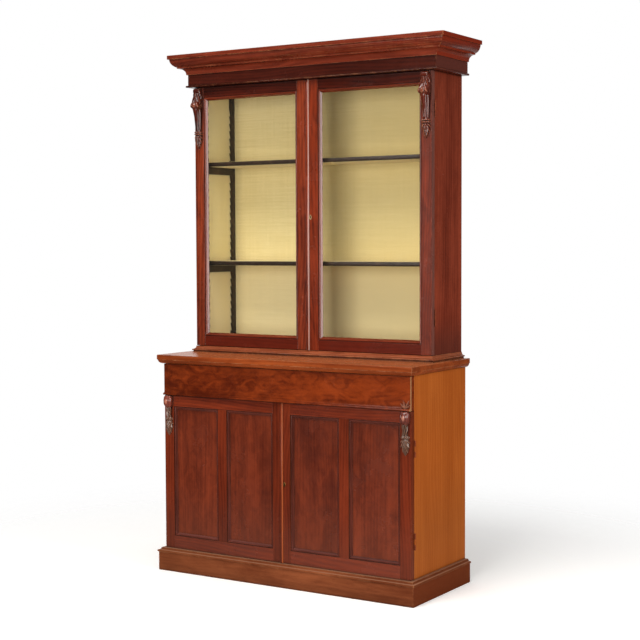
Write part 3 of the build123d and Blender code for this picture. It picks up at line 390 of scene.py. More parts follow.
def pine(name, grain, shift, boardWidth):
    material, tree, shader = newMaterial(name)
    place, space = grainSpace(tree, grain)
    # each board has its own piece of the figure and its own shade
    board = calc(tree, "FLOOR", calc(tree, "DIVIDE", coordinate(tree, space, "x"), boardWidth))
    across, onward = (calc(tree, "MULTIPLY", board, step) for step in pineSet["jump"])
    space = vectorCalc(tree, "ADD", space, put(tree, "CombineXYZ", {1: across, 2: onward}).outputs[0])
    drift = noise(tree, stretched(tree, space, *pineSet["drift"], shift), detail=2.0)
    rings = remap(tree, growthLines(tree, space, drift, *pineSet["lines"]), -0.2, 1.0, smooth=True)
    streak = noise(tree, stretched(tree, space, *pineSet["streak"], shift))
    tone = weighted(tree, rings, 0.5, streak, 0.5)
    colour = mixColour(tree, tone, linear(pineSet["pale"]), linear(pineSet["late"]))
    shade = put(tree, "TexWhiteNoise", {"W": board}, noise_dimensions="1D").outputs["Value"]
    colour = shaded(tree, colour, remap(tree, shade, 0.0, 1.0, *pineSet["shade"]))
    stain = remap(tree, noise(tree, place, scale=3.0, detail=4.0), 0.45, 0.75)
    colour = mixColour(tree, calc(tree, "MULTIPLY", stain, 0.4), colour, linear(pineSet["stain"]))
    # painted shade and grime: corners narrower than 3 cm are darkened
    hollow = remap(tree, openness(tree, 0.03, 6), 0.2, 0.8, 0.7, 0.0)
    colour = mixColour(tree, hollow, colour, linear(pineSet["grimeAndShade"]))
    fill(tree, shader, {"Base Color": colour, "Roughness": remap(tree, streak, 0.3, 0.7, 0.62, 0.8),
                        "Normal": bumped(tree, streak, 0.4, 0.0005), "Specular IOR Level": 0.25})
    return material


# Dark stained strips of the shelf fittings

fittingSet = {"dark": (26, 17, 12), "light": (64, 45, 34), "rubbed": (110, 84, 62), "streak": (190.0, 5.0)}


def darkWood(name, grain):
    material, tree, shader = newMaterial(name)
    place, space = grainSpace(tree, grain)
    streak = noise(tree, stretched(tree, space, *fittingSet["streak"]))
    colour = mixColour(tree, streak, linear(fittingSet["dark"]), linear(fittingSet["light"]))
    rub = remap(tree, noise(tree, place, scale=30.0), 0.55, 0.75)
    colour = mixColour(tree, calc(tree, "MULTIPLY", rub, 0.35), colour, linear(fittingSet["rubbed"]))
    fill(tree, shader, {"Base Color": colour, "Roughness": remap(tree, streak, 0.3, 0.7, 0.35, 0.5),
                        "Normal": bumped(tree, streak, 0.3, 0.0004), "Specular IOR Level": 0.3})
    return material


# Old brass, browned away from the rubbed parts; the hinges were varnished over with the wood

brasses = {
    "agedBrass": {"clean": (148, 112, 62), "brown": (70, 46, 26), "metal": 1.0, "shine": 0.5},
    "plateBrass": {"clean": (206, 182, 134), "brown": (138, 112, 74), "metal": 0.6, "shine": 0.5},
    "hingeBrass": {"clean": (120, 56, 34), "brown": (98, 42, 25), "metal": 0.0, "shine": 0.05},
    "lowHinge": {"clean": (150, 76, 28), "brown": (124, 60, 24), "metal": 0.0, "shine": 0.05},
}
brassGrime = (24, 16, 10)


def agedBrass(name):
    tones = brasses[name]
    material, tree, shader = newMaterial(name)
    place = put(tree, "TexCoord").outputs["Object"]
    tarnish = remap(tree, noise(tree, place, scale=60.0, detail=4.0, roughness=0.65), 0.35, 0.7)
    colour = mixColour(tree, tarnish, linear(tones["clean"]), linear(tones["brown"]))
    hollow = remap(tree, openness(tree, 0.006, 6), 0.2, 0.8, 0.8, 0.0)
    colour = mixColour(tree, hollow, colour, linear(brassGrime))
    fill(tree, shader, {"Base Color": colour, "Roughness": remap(tree, tarnish, 0.0, 1.0, 0.28, 0.55),
                        "Metallic": tones["metal"], "Specular IOR Level": tones["shine"]})
    return material


# Clear old glass: almost all light passes straight through

glassSet = {"colour": (58, 66, 60), "cover": 0.05, "roughness": 0.03, "waves": 5.0}


def clearGlass(name):
    material, tree, shader = newMaterial(name)
    place = put(tree, "TexCoord").outputs["Object"]
    wave = noise(tree, place, scale=glassSet["waves"], detail=2.0)
    fill(tree, shader, {"Normal": bumped(tree, wave, 0.15, 0.002), "Base Color": linear(glassSet["colour"]),
                        "Roughness": glassSet["roughness"], "Alpha": glassSet["cover"]})
    return material


# Plain woven lining: fine threads both ways, slubs, faint fading

clothSet = {"yarns": ((232, 215, 156), (242, 228, 174)), "slub": (208, 187, 124), "bar": (190, 171, 106),
            "between": (120, 98, 56), "shadedYellow": (212, 191, 128), "litPale": (252, 238, 186), "thread": 0.0011}


def lining(name, threadAxes, paler):
    material, tree, shader = newMaterial(name)
    place = put(tree, "TexCoord").outputs["Object"]
    parts = put(tree, "SeparateXYZ", {0: place}).outputs
    a, b = (parts["xyz".index(axis)] for axis in threadAxes)
    turns = 2 * math.pi / clothSet["thread"]
    warp, weft = (calc(tree, "SINE", calc(tree, "MULTIPLY", way, turns)) for way in (a, b))
    weave = calc(tree, "MULTIPLY", warp, weft)
    flatPlace = put(tree, "CombineXYZ", {0: a, 1: b}).outputs[0]

    def streaks(first, second):
        # noise drawn out along the threads both ways, each scale pair per metre
        drawn = [vectorCalc(tree, "MULTIPLY", flatPlace, (*scales, 1.0)) for scales in (first, second)]
        across, down = (noise(tree, vector) for vector in drawn)
        return weighted(tree, across, 0.6, down, 0.4)

    def tinted(amount, tint):
        return mixColour(tree, amount, colour, linear(clothSet[tint]))

    old, fresh = (linear(yarn) for yarn in clothSet["yarns"])
    colour = mixColour(tree, remap(tree, noise(tree, place, scale=1.6), 0.3, 0.7), old, fresh)
    threads = streaks((14.0, 620.0), (480.0, 10.0))
    colour = tinted(remap(tree, threads, 0.35, 0.65, 0.0, 0.5), "slub")
    bars = streaks((2.5, 130.0), (110.0, 2.0))
    colour = tinted(remap(tree, bars, 0.42, 0.64, 0.0, 0.3), "bar")
    colour = tinted(remap(tree, weave, -1.0, 1.0, 0.0, 0.14), "between")
    # painted shade makes the cloth darker and yellower towards the right, and painted light makes it paler towards
    # the foot and, by the given amount, paler overall
    colour = tinted(remap(tree, parts[0], -0.45, 0.5, 0.0, 0.6, smooth=True), "shadedYellow")
    colour = tinted(remap(tree, parts[2], 1.42, 1.26, paler, paler + 0.42, smooth=True), "litPale")
    height = calc(tree, "ADD", calc(tree, "MULTIPLY", weave, 0.4), threads)
    fill(tree, shader, {"Base Color": colour, "Normal": bumped(tree, height, 0.5, 0.0003), "Roughness": 0.85,
                        "Specular IOR Level": 0.15, "Sheen Weight": 0.15})
    return material


wood = {name: mahogany(name, finish) for name, finish in finishes.items()}
wood.update({name: mahogany(name, finish, mitre) for name, (finish, mitre) in mitredFinishes.items()})
brass, plateBrass, hingeBrass, lowHinge = (agedBrass(name) for name in brasses)
glass = clearGlass("clearGlass")
pineUpper = pine("pineUpper", "z", 2.0, pineBoards["upper"])
pineBase = pine("pineBase", "z", 8.0, pineBoards["base"])
pineLevel = pine("pineLevel", "x", 5.0, pineBoards["level"])
fittingWood = darkWood("fittingWood", "z")
# the last figure is how much paler each lining is painted, as painted light
clothBack = lining("liningBack", "xz", 0.06)
clothSide = lining("liningSide", "yz", 0.5)
clothShelf = lining("liningShelf", "xy", 0.0)
print("materials:", len(bpy.data.materials))

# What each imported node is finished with: the last key that its name holds counts

finishOf = {
    "upper_side": wood["upperSide"], "base_side": wood["base"], "base_top": wood["top"],
    "glazed_left_stiles": wood["stile"], "glazed_right_stiles": wood["beadStile"],
    "glazed_left_rails": wood["rail"], "glazed_right_rails": wood["rail"],
    "panelled_left_stiles": wood["lowerStile"], "panelled_right_stiles": wood["lowerBeadStile"],
    "panelled_left_rails": wood["lowerRail"], "panelled_right_rails": wood["lowerRail"],
    "_panels": wood["panel"], "_corbel": wood["carved"], "drawer_front": wood["drawer"],
    "upper_floor": pineLevel, "upper_ceiling": pineLevel, "base_floor": pineLevel,
    "cupboard_shelf": pineLevel, "drawer_support": pineLevel, "drawer_box": pineLevel,
    "upper_back_boards": pineUpper, "base_back_boards": pineBase,
    "dust_cover": pineLevel, "shelf_racks": fittingWood, "shelf_bearers": fittingWood,
    "lipping": fittingWood, "shelf_board": pineLevel, "cloth_lining": clothBack, "_glass": glass,
    "hinge_leaves": hingeBrass, "panelled_left_hinge_leaves": lowHinge, "panelled_right_hinge_leaves": lowHinge,
    "_lock": brass, "_bolt": brass,
}
finishOf.update({name: wood[name] for name in mitredFinishes})
for name, node in nodes.items():
    chosen = [material for key, material in finishOf.items() if key in name][-1]
    node.data.materials.clear()
    node.data.materials.append(chosen)

# Eased edges on the joinery, in millimetres

easing = {"upper_side": 1.5, "base_side": 1.5, "_stiles": 1.2, "_rails": 1.2, "drawer_front": 1.0, "base_top": 1.2,
          "cornice_": 1.0, "upper_foot": 0.8, "lipping": 1.0, "shelf_bearers": 1.0, "hinge_leaves": 0.3,
          "lock_bolt": 1.4}
easeOver = math.radians(38)  # only edges that turn more than this
weldWithin = 0.00002
for name, node in nodes.items():
    widths = [width for key, width in easing.items() if key in name]
    if widths:
        weld = node.modifiers.new("weld", "WELD")
        weld.merge_threshold = weldWithin
        bevel = node.modifiers.new("ease", "BEVEL")
        bevel.width = widths[-1] / 1000
        bevel.segments = 2
        bevel.limit_method = "ANGLE"
        bevel.angle_limit = easeOver
        bevel.harden_normals = True
        bevel.use_clamp_overlap = True
print("joinery eased")

# Surfaces worked out on a grid, millimetres until they go into a mesh

def smooth(start, end, x):
    # 0 before start, 1 after end, an S curve between; start may be the larger
    t = np.clip((x - start) / (end - start), 0, 1)
    return t * t * (3 - 2 * t)


def curveThrough(keys, v):
    # cubic pieces through (drop, value) keys, with slopes held so that the curve never overshoots a key
    x, y = np.array(keys, float).T
    step = np.diff(x)
    rise = np.diff(y) / step
    slope = np.zeros_like(y)
    level = rise[:-1] * rise[1:] > 0
    safe = np.where(level, rise[:-1] + rise[1:], 1.0)
    slope[1:-1] = np.where(level, 2 * rise[:-1] * rise[1:] / safe, 0.0)
    i = np.clip(np.searchsorted(x, v, side="right") - 1, 0, len(step) - 1)
    h = step[i]
    t = (v - x[i]) / h
    ahead = t * t * (3 - 2 * t)
    return y[i] * (1 - ahead) + y[i + 1] * ahead + h * t * (1 - t) * (slope[i] * (1 - t) - slope[i + 1] * t)


turnedOver = [0, 3, 2, 1]  # order of a quad's corners seen from its other side


def gridQuads(rows, columns, wrapRows=False, wrapColumns=False):
    # quads between neighbours of a grid, which may close on itself either way
    i, j = np.meshgrid(np.arange(rows - 1 + wrapRows), np.arange(columns - 1 + wrapColumns), indexing="ij")
    below, after = (i + 1) % rows, (j + 1) % columns
    quads = np.stack([i * columns + j, i * columns + after, below * columns + after, below * columns + j], -1)
    return quads.reshape(-1, 4)


def closedSkin(rings):
    # quads between neighbouring closed rings, and a fan on the middle of each end ring, turned to face outwards
    rows, columns = rings.shape[:2]
    quads = gridQuads(rows, columns, wrapColumns=True)
    here = np.arange(columns)
    after = (here + 1) % columns
    last = (rows - 1) * columns
    firstFan = np.stack([after, here, np.full(columns, rows * columns)], -1)
    lastFan = np.stack([here + last, after + last, np.full(columns, rows * columns + 1)], -1)
    fans = np.concatenate([firstFan, lastFan])
    points = np.concatenate([rings.reshape(-1, 3), rings[:1].mean(1), rings[-1:].mean(1)])
    corners = points - points.mean(0)
    triangles = np.concatenate([quads[:, :3], quads[:, [0, 2, 3]], fans])
    a, b, c = (corners[triangles[:, m]] for m in range(3))
    if np.einsum("ij,ij->i", a, np.cross(b, c)).sum() < 0:
        quads, fans = quads[:, ::-1], fans[:, ::-1]
    return points, quads, fans


def newPiece(name, points, faces, body, material):
    # one smooth mesh on its body, from points in millimetres
    mesh = bpy.data.meshes.new(name)
    mesh.from_pydata((np.asarray(points) / 1000).tolist(), [], faces)
    mesh.polygons.foreach_set("use_smooth", np.ones(len(mesh.polygons), bool))
    mesh.materials.append(material)
    piece = bpy.data.objects.new(name, mesh)
    bpy.context.scene.collection.objects.link(piece)
    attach(piece, body)
    return piece


def skinPiece(name, skins, body, material):
    # several closed skins as one mesh
    points, faces, count = [], [], 0
    for rings in skins:
        own, quads, fans = closedSkin(rings)
        points.append(own)
        faces += (quads + count).tolist() + (fans + count).tolist()
        count += len(own)
    return newPiece(name, np.concatenate(points), faces, body, material)


def sheetPiece(name, points, body, material, thickness):
    # an open grid of points, given its thickness evenly on both sides
    quads = gridQuads(*points.shape[:2])
    piece = newPiece(name, points.reshape(-1, 3), quads.tolist(), body, material)
    solid = piece.modifiers.new("thickness", "SOLIDIFY")
    solid.thickness = thickness / 1000
    solid.offset = 0.0
    return piece


def boxOf(node):
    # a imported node's box in millimetres
    low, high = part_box(node)
    return np.array(low) * 1000, np.array(high) * 1000


# Carved corbels: drops in mm from the top, with the projection and the half width at each;
# a band starts, is full, falls and ends at its four drops

upperConsole = {
    "rows": 330, "columns": 110,
    "out": [(0, 8), (14, 16), (26, 19), (36, 21), (50, 25), (62, 31), (72, 36.5), (80, 38.5), (88, 37.5), (94, 35),
            (100, 33.5), (110, 31), (130, 26), (155, 20), (186, 15.5), (190, 16.5), (193, 20.5), (196, 21.5),
            (199, 17.5), (202, 21), (205, 21.5), (208, 16), (212, 19), (218, 20.5), (226, 18.5), (240, 14),
            (256, 8.5), (270, 1.5)],
    "half": [(0, 12), (14, 17), (28, 18.5), (40, 19), (54, 19.5), (70, 20), (86, 20), (95, 19), (102, 18.5),
             (120, 17), (150, 15.5), (186, 13.5), (190, 15), (193, 19), (196, 20), (199, 16), (202, 19.5),
             (205, 20), (208, 15), (212, 16.5), (220, 19), (230, 18.5), (248, 13), (262, 6.5), (270, 1.5)],
    "square": [(0, 3.6), (60, 4.0), (90, 3.6), (110, 3.0), (186, 2.6), (196, 2.3), (270, 2.2)],
    "under": [(0, 0.1), (40, 0.15), (80, 0.25), (100, 0.4), (184, 0.4), (193, 0.05), (270, 0.0)],
    "stem": (88, 100, 181, 191), "collar": (190, 193, 205, 208), "husk": (209, 217, 256, 270),
    "scroll": {"out": 14.0, "drop": 14.0, "outer": 11.4, "inner": 2.6, "turns": 1.7, "thickness": 4.2,
               "half": (15.5, 13.0)},
}
lowerConsole = {
    "rows": 240, "columns": 110,
    "out": [(0, 14), (3, 18.5), (10, 23), (22, 25.6), (34, 24.5), (42, 20.5), (47, 15.5), (50, 11.5), (54, 10),
            (93, 9), (97, 12), (101, 13.5), (106, 12), (109, 10), (119, 13), (133, 13), (151, 9), (165, 5),
            (174, 1.5)],
    "half": [(0, 17), (4, 20), (18, 21.8), (35, 21.5), (44, 19.5), (49.5, 16), (54, 15), (93, 14), (97, 17),
             (102, 19), (106, 17.5), (109, 15.5), (123, 20), (135, 19.5), (153, 14), (166, 7.5), (174, 1.5)],
    "square": [(0, 3.0), (40, 3.0), (52, 2.6), (174, 2.2)],
    "under": [(0, 0.05), (44, 0.1), (50, 0.3), (93, 0.3), (98, 0.05), (174, 0.0)],
    "lobes": (1, 8, 42, 49), "stem": (50, 54, 92, 97), "collar": (95, 97.5, 105.5, 108),
    "husk": (109, 117, 160, 174), "scroll": None,
}


def between(band, v):
    # 0 outside a band of drops, 1 inside it, an S curve at each end
    start, full, falls, end = band
    return smooth(start, full, v) * smooth(end, falls, v)


def husk(band, v, s):
    # overlapping leaves: a saw wave climbing along a herringbone slant, cut by a groove down the middle
    slant = (v - band[0]) / 19 - 1.9 * np.abs(s)
    saw = slant - np.floor(slant)
    leaf = saw * smooth(1.0, 0.82, saw)
    return between(band, v) * (4.4 * leaf - 2.2 - 2.0 * np.exp(-(s / 0.10) ** 2))


def upperRelief(v, a):
    # a leaf over the knee with a midrib, slanting veins and five round lobes along its lower edge,
    # three ribs down the stem, a notched double collar and a husk
    s = np.sin(a)
    lobes = np.abs(np.cos(2 * math.pi * s))
    edge = 80 + 10 * lobes ** 0.6
    leaf = smooth(6, 26, v) * smooth(edge + 3, edge - 7, v)
    veins = np.cos(2 * math.pi * (2.4 * np.abs(s) - (v - 34) / 44)) * smooth(12, 40, v)
    midrib = np.exp(-(s / 0.11) ** 2)
    proud = leaf * (3.2 + 1.5 * veins + 1.2 * midrib + 2.8 * lobes ** 0.7 * smooth(58, 82, v))
    proud += between(upperConsole["stem"], v) * 5.0 * (np.abs(np.cos(3 * a)) ** 0.8 - 0.6)
    proud += between(upperConsole["collar"], v) * 0.9 * np.cos(14 * a)
    return proud + husk(upperConsole["husk"], v, s)


def lowerRelief(v, a):
    # three upright lobes parted by grooves, slanting ribs on the stem, a notched collar and a husk
    s = np.sin(a)
    rounded = np.abs(np.cos(math.pi * (s - 0.07) / 0.86)) ** 0.7
    proud = between(lowerConsole["lobes"], v) * 3.2 * (rounded - 1)
    slant = np.cos(2 * math.pi * (1.5 * s + (v - 49) / 34))
    proud += between(lowerConsole["stem"], v) * 2.4 * slant
    proud += between(lowerConsole["collar"], v) * 0.9 * np.cos(12 * a)
    return proud + husk(lowerConsole["husk"], v, s)


def carvedBody(console, relief, height, reach, across):
    # sections down the console, each half a superellipse drawn by angle, undercut at the back, and the relief
    # added to its radius
    drop = np.linspace(0, height, console["rows"])
    turn = np.linspace(-math.pi / 2, math.pi / 2, console["columns"])
    v, a = np.meshgrid(drop, turn, indexing="ij")
    s, c = np.sin(a), np.clip(np.cos(a), 0, 1)
    half, out, power = (curveThrough(console[key], v) for key in ("half", "out", "square"))
    radius = ((np.abs(s) / half) ** power + (c / out) ** power) ** (-1 / power) + relief(v, a)
    waist = 1 - curveThrough(console["under"], v) * smooth(math.radians(52), math.radians(88), np.abs(a))
    x = np.clip(radius * s * waist, -across, across)
    y = np.clip(radius * c, 0, reach)
    return np.stack([x, -y, -v], -1)


def squared(wave, power):
    # a sine or cosine pressed towards a square wave
    return np.sign(wave) * np.abs(wave) ** power


def rolledScroll(scroll):
    # a flat band carried along a spiral whose radius shrinks evenly with the turn
    t = np.linspace(0, 1, 150)[:, None]
    angle = math.radians(-110) + t * scroll["turns"] * 2 * math.pi
    radius = scroll["outer"] + (scroll["inner"] - scroll["outer"]) * t
    ring = np.linspace(0, 2 * math.pi, 41)[None, :-1]
    half = scroll["half"][0] + (scroll["half"][1] - scroll["half"][0]) * t
    thick = scroll["thickness"] / 2 * smooth(1.02, 0.9, t) + 0.2
    x = half * squared(np.cos(ring), 0.3)
    r = radius + thick * squared(np.sin(ring), 0.7)
    out, up = scroll["out"] + r * np.cos(angle), r * np.sin(angle) - scroll["drop"]
    return np.stack([x + 0 * r, -np.clip(out, 0, None), up], -1)


consoles = (("glazed", upperConsole, upperRelief, wood["carved"]),
            ("panelled", lowerConsole, lowerRelief, wood["carvedLower"]))
for door, console, relief, finish in consoles:
    for hand, side in (("left", -1), ("right", 1)):
        name = door + "_" + hand
        node = name + "_corbel"
        low, high = boxOf(node)
        skins = [carvedBody(console, relief, high[2] - low[2], high[1] - low[1], (high[0] - low[0]) / 2)]
        if console["scroll"]:
            skins.append(rolledScroll(console["scroll"]))
        place = np.array([(low[0] + high[0]) / 2, high[1], high[2]])
        skins = [rings * (side, 1, 1) + place for rings in skins]
        piece = skinPiece(name + "_carving", skins, name + "_door", finish)
        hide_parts(node)
print("corbels carved")

# A small oval brass plate round each keyhole

keyPlate = {"half": (5.4, 10.5), "hole": (2.9, 6.0), "below": 2.8, "proud": 1.4, "sunk": 0.3, "fromEdge": 20.5}


def ovalRing(plate):
    # a low dome swept round an oval, from the outer edge to the hole, with its back just below the door's face
    u, w = np.meshgrid(np.linspace(0, 2 * math.pi, 73)[:-1], np.linspace(0, 2 * math.pi, 25)[:-1], indexing="ij")
    outer, inner = np.array(plate["half"]), np.array(plate["hole"])
    middle, band = (outer + inner) / 2, (outer - inner) / 2
    x = (middle[0] + band[0] * np.cos(w)) * np.cos(u)
    z = (middle[1] + band[1] * np.cos(w)) * np.sin(u) - plate["below"]
    y = np.where(w < math.pi, -plate["proud"] * np.abs(np.sin(w)) ** 0.6, plate["sunk"] * np.abs(np.sin(w)))
    return np.stack([x, y, z], -1)


for door, metal in (("glazed_right", plateBrass), ("panelled_right", brass)):
    low, high = boxOf(door + "_lock")
    edge = boxOf(door + "_stiles")[0][0]
    front = boxOf(door + "_rails")[0][1]
    ring = ovalRing(keyPlate)
    points = ring + np.array([edge + keyPlate["fromEdge"], front, (low[2] + high[2]) / 2])
    faces = gridQuads(*ring.shape[:2], True, True)[:, turnedOver].tolist()
    newPiece(door + "_key_plate", points.reshape(-1, 3), faces, door + "_door", metal)
print("key plates fitted")

# A small spray of leaves over the lip at the drawer front's lower right corner:
# each leaf is its lean in degrees, its length and its half width, and the lip is how far it stands out

spray = {"in": 20.0, "up": 6.5, "leaves": [(46, 32, 3.6), (72, 40, 3.8), (101, 38, 3.8), (130, 34, 3.6)],
         "rise": 8.0, "lip": 10.0, "sunk": 0.2}


def sprayLeaf(lean, length, half, rise):
    # a pointed leaf: its half width follows a skewed sine, its section is a low dome with a groove down the middle
    t = np.linspace(0, 1, 40)[:, None]
    a = np.linspace(-math.pi / 2, math.pi / 2, 22)[None, :]
    width = half * np.sin(math.pi * np.clip(t, 0.02, 0.985) ** 0.75)
    across = width * np.sin(a)
    dome = rise * (0.35 + 0.65 * np.sin(math.pi * np.clip(t, 0, 1) ** 0.8)) * np.cos(a) ** 0.6
    dome = dome * (1 - 0.45 * np.exp(-(np.sin(a) / 0.2) ** 2)) * np.minimum(1, width / (0.4 * half))
    curl = 0.12 * length * t ** 2 * math.copysign(1, 95 - lean)
    down = math.radians(lean)
    x = t * length * math.cos(down) + (across + curl) * math.sin(down)
    z = t * length * math.sin(down) - (across + curl) * math.cos(down)
    return np.stack([x, -dome, z], -1)


low, high = boxOf("drawer_front")
drawerFace = low[1] + spray["lip"]
place = np.array([high[0] - spray["in"], drawerFace + spray["sunk"], low[2] + spray["up"]])
leaves = [sprayLeaf(lean, length, half, spray["rise"]) + place for lean, length, half in spray["leaves"]]
skinPiece("drawer_spray", leaves, "frieze_drawer", wood["spray"])
print("drawer spray carved")

# A pine packing strip behind, between the plinth's rear board and the base

packing = {"inset": 55.5, "thickness": 20.0, "setIn": 1.0, "clear": 0.2, "round": 1.0}


def roundedBar(low, high, radius):
    # a rectangle with quarter-round corners, carried straight along x
    turn = np.linspace(0, 2 * math.pi, 49)[:-1] + math.pi / 96
    middle, half = (low + high) / 2, (high - low) / 2 - radius
    y = middle[1] + half[1] * np.sign(np.cos(turn)) + radius * np.cos(turn)
    z = middle[2] + half[2] * np.sign(np.sin(turn)) + radius * np.sin(turn)
    x = np.linspace(low[0], high[0], 2)[:, None]
    return np.stack([x + 0 * y, y + 0 * x, z + 0 * x], -1)


low, high = boxOf("plinth_moulding")
reach = high[0] - packing["inset"]
rear = high[1] - packing["setIn"]
barLow = np.array([-reach, rear - packing["thickness"], low[2] + packing["clear"]])
barHigh = np.array([reach, rear, high[2] - packing["clear"]])
skinPiece("plinth_packing", [roundedBar(barLow, barHigh, packing["round"])], "carcass", pineLevel)
print("plinth packed behind")

# Cloth: three stretched linings in the upper case, and a cover drawn over each shelf

liningSet = {"thickness": 0.4, "slack": 0.4, "waves": 6.0, "inset": 0.4, "cornerGap": 0.6}
shelfCover = {"thickness": 0.5, "stand": 0.35, "behind": 0.5, "endGap": 0.3}


def liningPoints(corner, acrossTo, upTo, towards):
    # a flat grid with faint upright waves that die away at its edges, where it is tacked
    u, v = np.meshgrid(np.linspace(0, 1, 90), np.linspace(0, 1, 120), indexing="ij")
    hold = np.minimum(1, np.minimum(u, 1 - u) * 14) * np.minimum(1, np.minimum(v, 1 - v) * 14)
    wave = 0.5 + 0.5 * np.sin(2 * math.pi * (liningSet["waves"] * u + 0.35 * np.sin(2 * math.pi * v)))
    lift = liningSet["slack"] * hold * wave * (0.6 + 0.4 * np.sin(9 * v + 3 * u))
    corner, acrossTo, upTo, towards = (np.array(p, float) for p in (corner, acrossTo, upTo, towards))
    flat = corner + u[..., None] * (acrossTo - corner) + v[..., None] * (upTo - corner)
    return flat + lift[..., None] * towards


low, high = boxOf("cloth_lining")
back, side = high[1] - liningSet["inset"], high[0] - liningSet["inset"]
corner = back - liningSet["cornerGap"]


def tackedLining(name, start, end, towards, material):
    # one sheet over the full height, from one place on the floor to another
    points = liningPoints((*start, low[2]), (*end, low[2]), (*start, high[2]), towards)
    return sheetPiece(name, points, "carcass", material, liningSet["thickness"])


backSheet = tackedLining("back_lining", (low[0], back), (high[0], back), (0, -1, 0), clothBack)
leftSheet = tackedLining("left_lining", (-side, low[1]), (-side, corner), (1, 0, 0), clothSide)
rightSheet = tackedLining("right_lining", (side, low[1]), (side, corner), (-1, 0, 0), clothSide)
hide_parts("cloth_lining")


def coverPoints(low, high, notch):
    # one strip from the lipping along the top, round the rear edge and back underneath
    stand = shelfCover["stand"]
    t = np.linspace(0, 1, 60)
    top = np.stack([low[1] + (high[1] - low[1]) * t, np.full_like(t, high[2] + stand)], -1)
    turn = np.linspace(math.pi / 2, -math.pi / 2, 14)[1:-1]
    middle, radius = (low[2] + high[2]) / 2, (high[2] - low[2]) / 2 + stand
    rear = np.stack([high[1] + shelfCover["behind"] * np.cos(turn), middle + radius * np.sin(turn)], -1)
    under = np.stack([top[::-1, 0], np.full_like(t, low[2] - stand)], -1)
    path = np.concatenate([top, rear, under])
    u = np.linspace(-notch, notch, 100)
    x = np.broadcast_to(u[None, :], (len(path), len(u)))
    y = np.broadcast_to(path[:, :1], x.shape)
    z = np.broadcast_to(path[:, 1:], x.shape)
    return np.stack([x, y, z], -1)


for body in ("top_shelf", "middle_shelf"):
    low, high = boxOf(body + "_board")
    notch = boxOf(body + "_lipping")[1][0] - shelfCover["endGap"]
    points = coverPoints(low, high, notch)
    piece = sheetPiece(body + "_cover", points, body, clothShelf, shelfCover["thickness"])
print("linings and shelf covers stretched")

# Floor, light and camera

floorSet = {"radius": 2.8, "below": 0.0005, "fadeFrom": 0.7, "fadeTo": 2.6, "colour": (250, 249, 247), "lift": 0.2,
            "mirrored": 0.2}
white = (1.0, 1.0, 1.0, 1.0)


def paleFloor():
    # a disc worked out on a polar grid, which fades out before its rim
    ring = np.linspace(0, 2 * math.pi, 97)[:-1]
    radius = np.linspace(0.02, floorSet["radius"], 40)
    r, t = np.meshgrid(radius, ring, indexing="ij")
    points = np.stack([r * np.cos(t), r * np.sin(t), np.full_like(r, -floorSet["below"])], -1).reshape(-1, 3)
    quads = gridQuads(*r.shape, wrapColumns=True)[:, turnedOver]
    mesh = bpy.data.meshes.new("floor")
    mesh.from_pydata(points.tolist(), [], quads.tolist() + [list(range(len(ring)))])
    floor = bpy.data.objects.new("floor", mesh)
    bpy.context.scene.collection.objects.link(floor)
    material, tree, shader = newMaterial("paleFloor")
    place = put(tree, "TexCoord").outputs["Object"]
    distance = put(tree, "VectorMath", {0: place}, operation="LENGTH").outputs["Value"]
    # polish is given a dim floor to reflect
    path = put(tree, "LightPath").outputs
    cover = remap(tree, path["Is Glossy Ray"], 0.0, 1.0, 1.0, floorSet["mirrored"])
    fade = remap(tree, distance, floorSet["fadeFrom"], floorSet["fadeTo"], 1.0, 0.0, smooth=True)
    lift = calc(tree, "MULTIPLY", path["Is Camera Ray"], floorSet["lift"])
    fill(tree, shader, {"Base Color": linear(floorSet["colour"]), "Alpha": calc(tree, "MULTIPLY", fade, cover),
                        "Emission Color": white, "Emission Strength": lift, "Roughness": 0.6,
                        "Specular IOR Level": 0.1})
    mesh.materials.append(material)
    floor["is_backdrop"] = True


paleFloor()

lamps = {
    "keyFront": {"at": (0.7, -6.2, 1.5), "aim": (0.0, 0.0, 1.3), "size": (3.8, 2.8), "power": 250,
                 "colour": (255, 250, 244)},
    "windowRight": {"at": (5.4, -1.0, 1.6), "aim": (0.2, 0.0, 1.4), "size": (1.8, 2.6), "power": 130,
                    "colour": (255, 252, 248)},
    "topSoft": {"at": (0.0, -2.4, 5.2), "aim": (0.0, 0.0, 1.0), "size": (2.4, 2.4), "power": 165,
                "colour": (255, 252, 248)},
}
for name, lamp in lamps.items():
    light = bpy.data.lights.new(name, "AREA")
    light.shape = "RECTANGLE"
    light.size, light.size_y = lamp["size"]
    light.energy = lamp["power"]
    light.color = linear(lamp["colour"])[:3]
    thing = bpy.data.objects.new(name, light)
    thing.location = lamp["at"]
    aim = Vector(lamp["aim"]) - Vector(lamp["at"])
    thing.rotation_euler = aim.to_track_quat("-Z", "Y").to_euler()
    bpy.context.scene.collection.objects.link(thing)

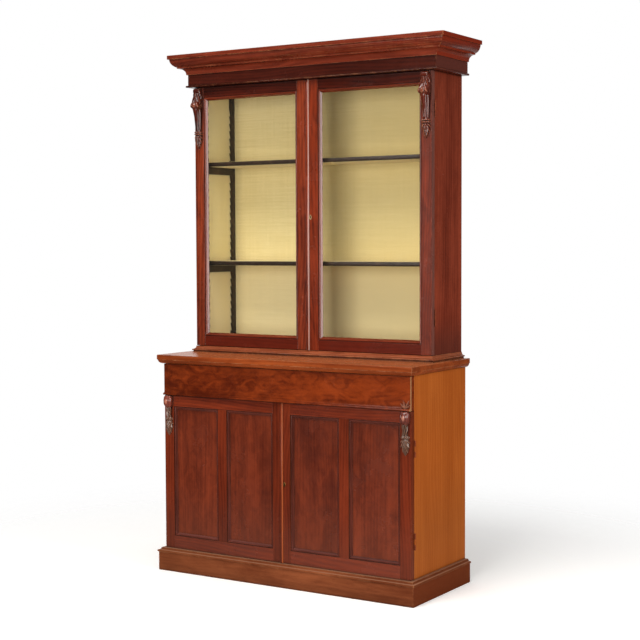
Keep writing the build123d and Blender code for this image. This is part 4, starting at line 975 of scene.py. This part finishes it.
# polish reflects the white backdrop behind the bookcase, a pale ceiling and a dim room all round it
studio = {"ambient": 0.42, "room": 0.06, "ceiling": 0.5, "backdrop": (-0.53, 0.85, 0.0)}
world = bpy.data.worlds.new("studio")
bpy.context.scene.world = world
world.use_nodes = True
tree = world.node_tree
tree.nodes.clear()
path = put(tree, "LightPath").outputs
direction = put(tree, "TexCoord").outputs["Generated"]
behind = remap(tree, agreement(tree, direction, studio["backdrop"]), 0.8, 0.97, studio["room"], 1.0, smooth=True)
above = remap(tree, coordinate(tree, direction, "z"), 0.5, 0.8, studio["room"], studio["ceiling"], smooth=True)
reflected = calc(tree, "MAXIMUM", behind, above)
seen = calc(tree, "MAXIMUM", path["Is Camera Ray"], path["Is Transmission Ray"])


def either(factor, a, b):
    # a where the factor is 0, b where it is 1
    return calc(tree, "ADD", a, calc(tree, "MULTIPLY", factor, calc(tree, "SUBTRACT", b, a)))


strength = either(seen, either(path["Is Glossy Ray"], studio["ambient"], reflected), 1.0)
background = put(tree, "Background", {"Color": white, "Strength": strength})
put(tree, "OutputWorld", {"Surface": background.outputs[0]})

# Camera at the photograph's viewing angle; the image is 640 by 640
shot = {"place": (3.23651, -5.05614, 1.43127), "yaw": 32.2176, "pitch": 3.1595, "roll": -0.2129,
        "focal": 1412.916, "image": 640, "sensor": 36.0}


def photoCamera():
    # looks along the yaw and the pitch, rolled about the line of sight
    yaw, pitch, roll = (math.radians(shot[key]) for key in ("yaw", "pitch", "roll"))
    ahead = Vector((-math.sin(yaw) * math.cos(pitch), math.cos(yaw) * math.cos(pitch), -math.sin(pitch)))
    level = Vector((math.cos(yaw), math.sin(yaw), 0.0))
    upright = level.cross(ahead)
    right = level * math.cos(roll) + upright * math.sin(roll)
    up = upright * math.cos(roll) - level * math.sin(roll)
    camera = bpy.data.cameras.new("photoCamera")
    camera.sensor_width = shot["sensor"]
    camera.lens = shot["focal"] * shot["sensor"] / shot["image"]
    thing = bpy.data.objects.new("photoCamera", camera)
    turn = Matrix((right, up, -ahead)).transposed().to_4x4()
    thing.matrix_world = Matrix.Translation(shot["place"]) @ turn
    bpy.context.scene.collection.objects.link(thing)
    bpy.context.scene.camera = thing


photoCamera()
bpy.context.scene.view_settings.view_transform = "Standard"
print("stage, light and camera set")

low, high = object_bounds()
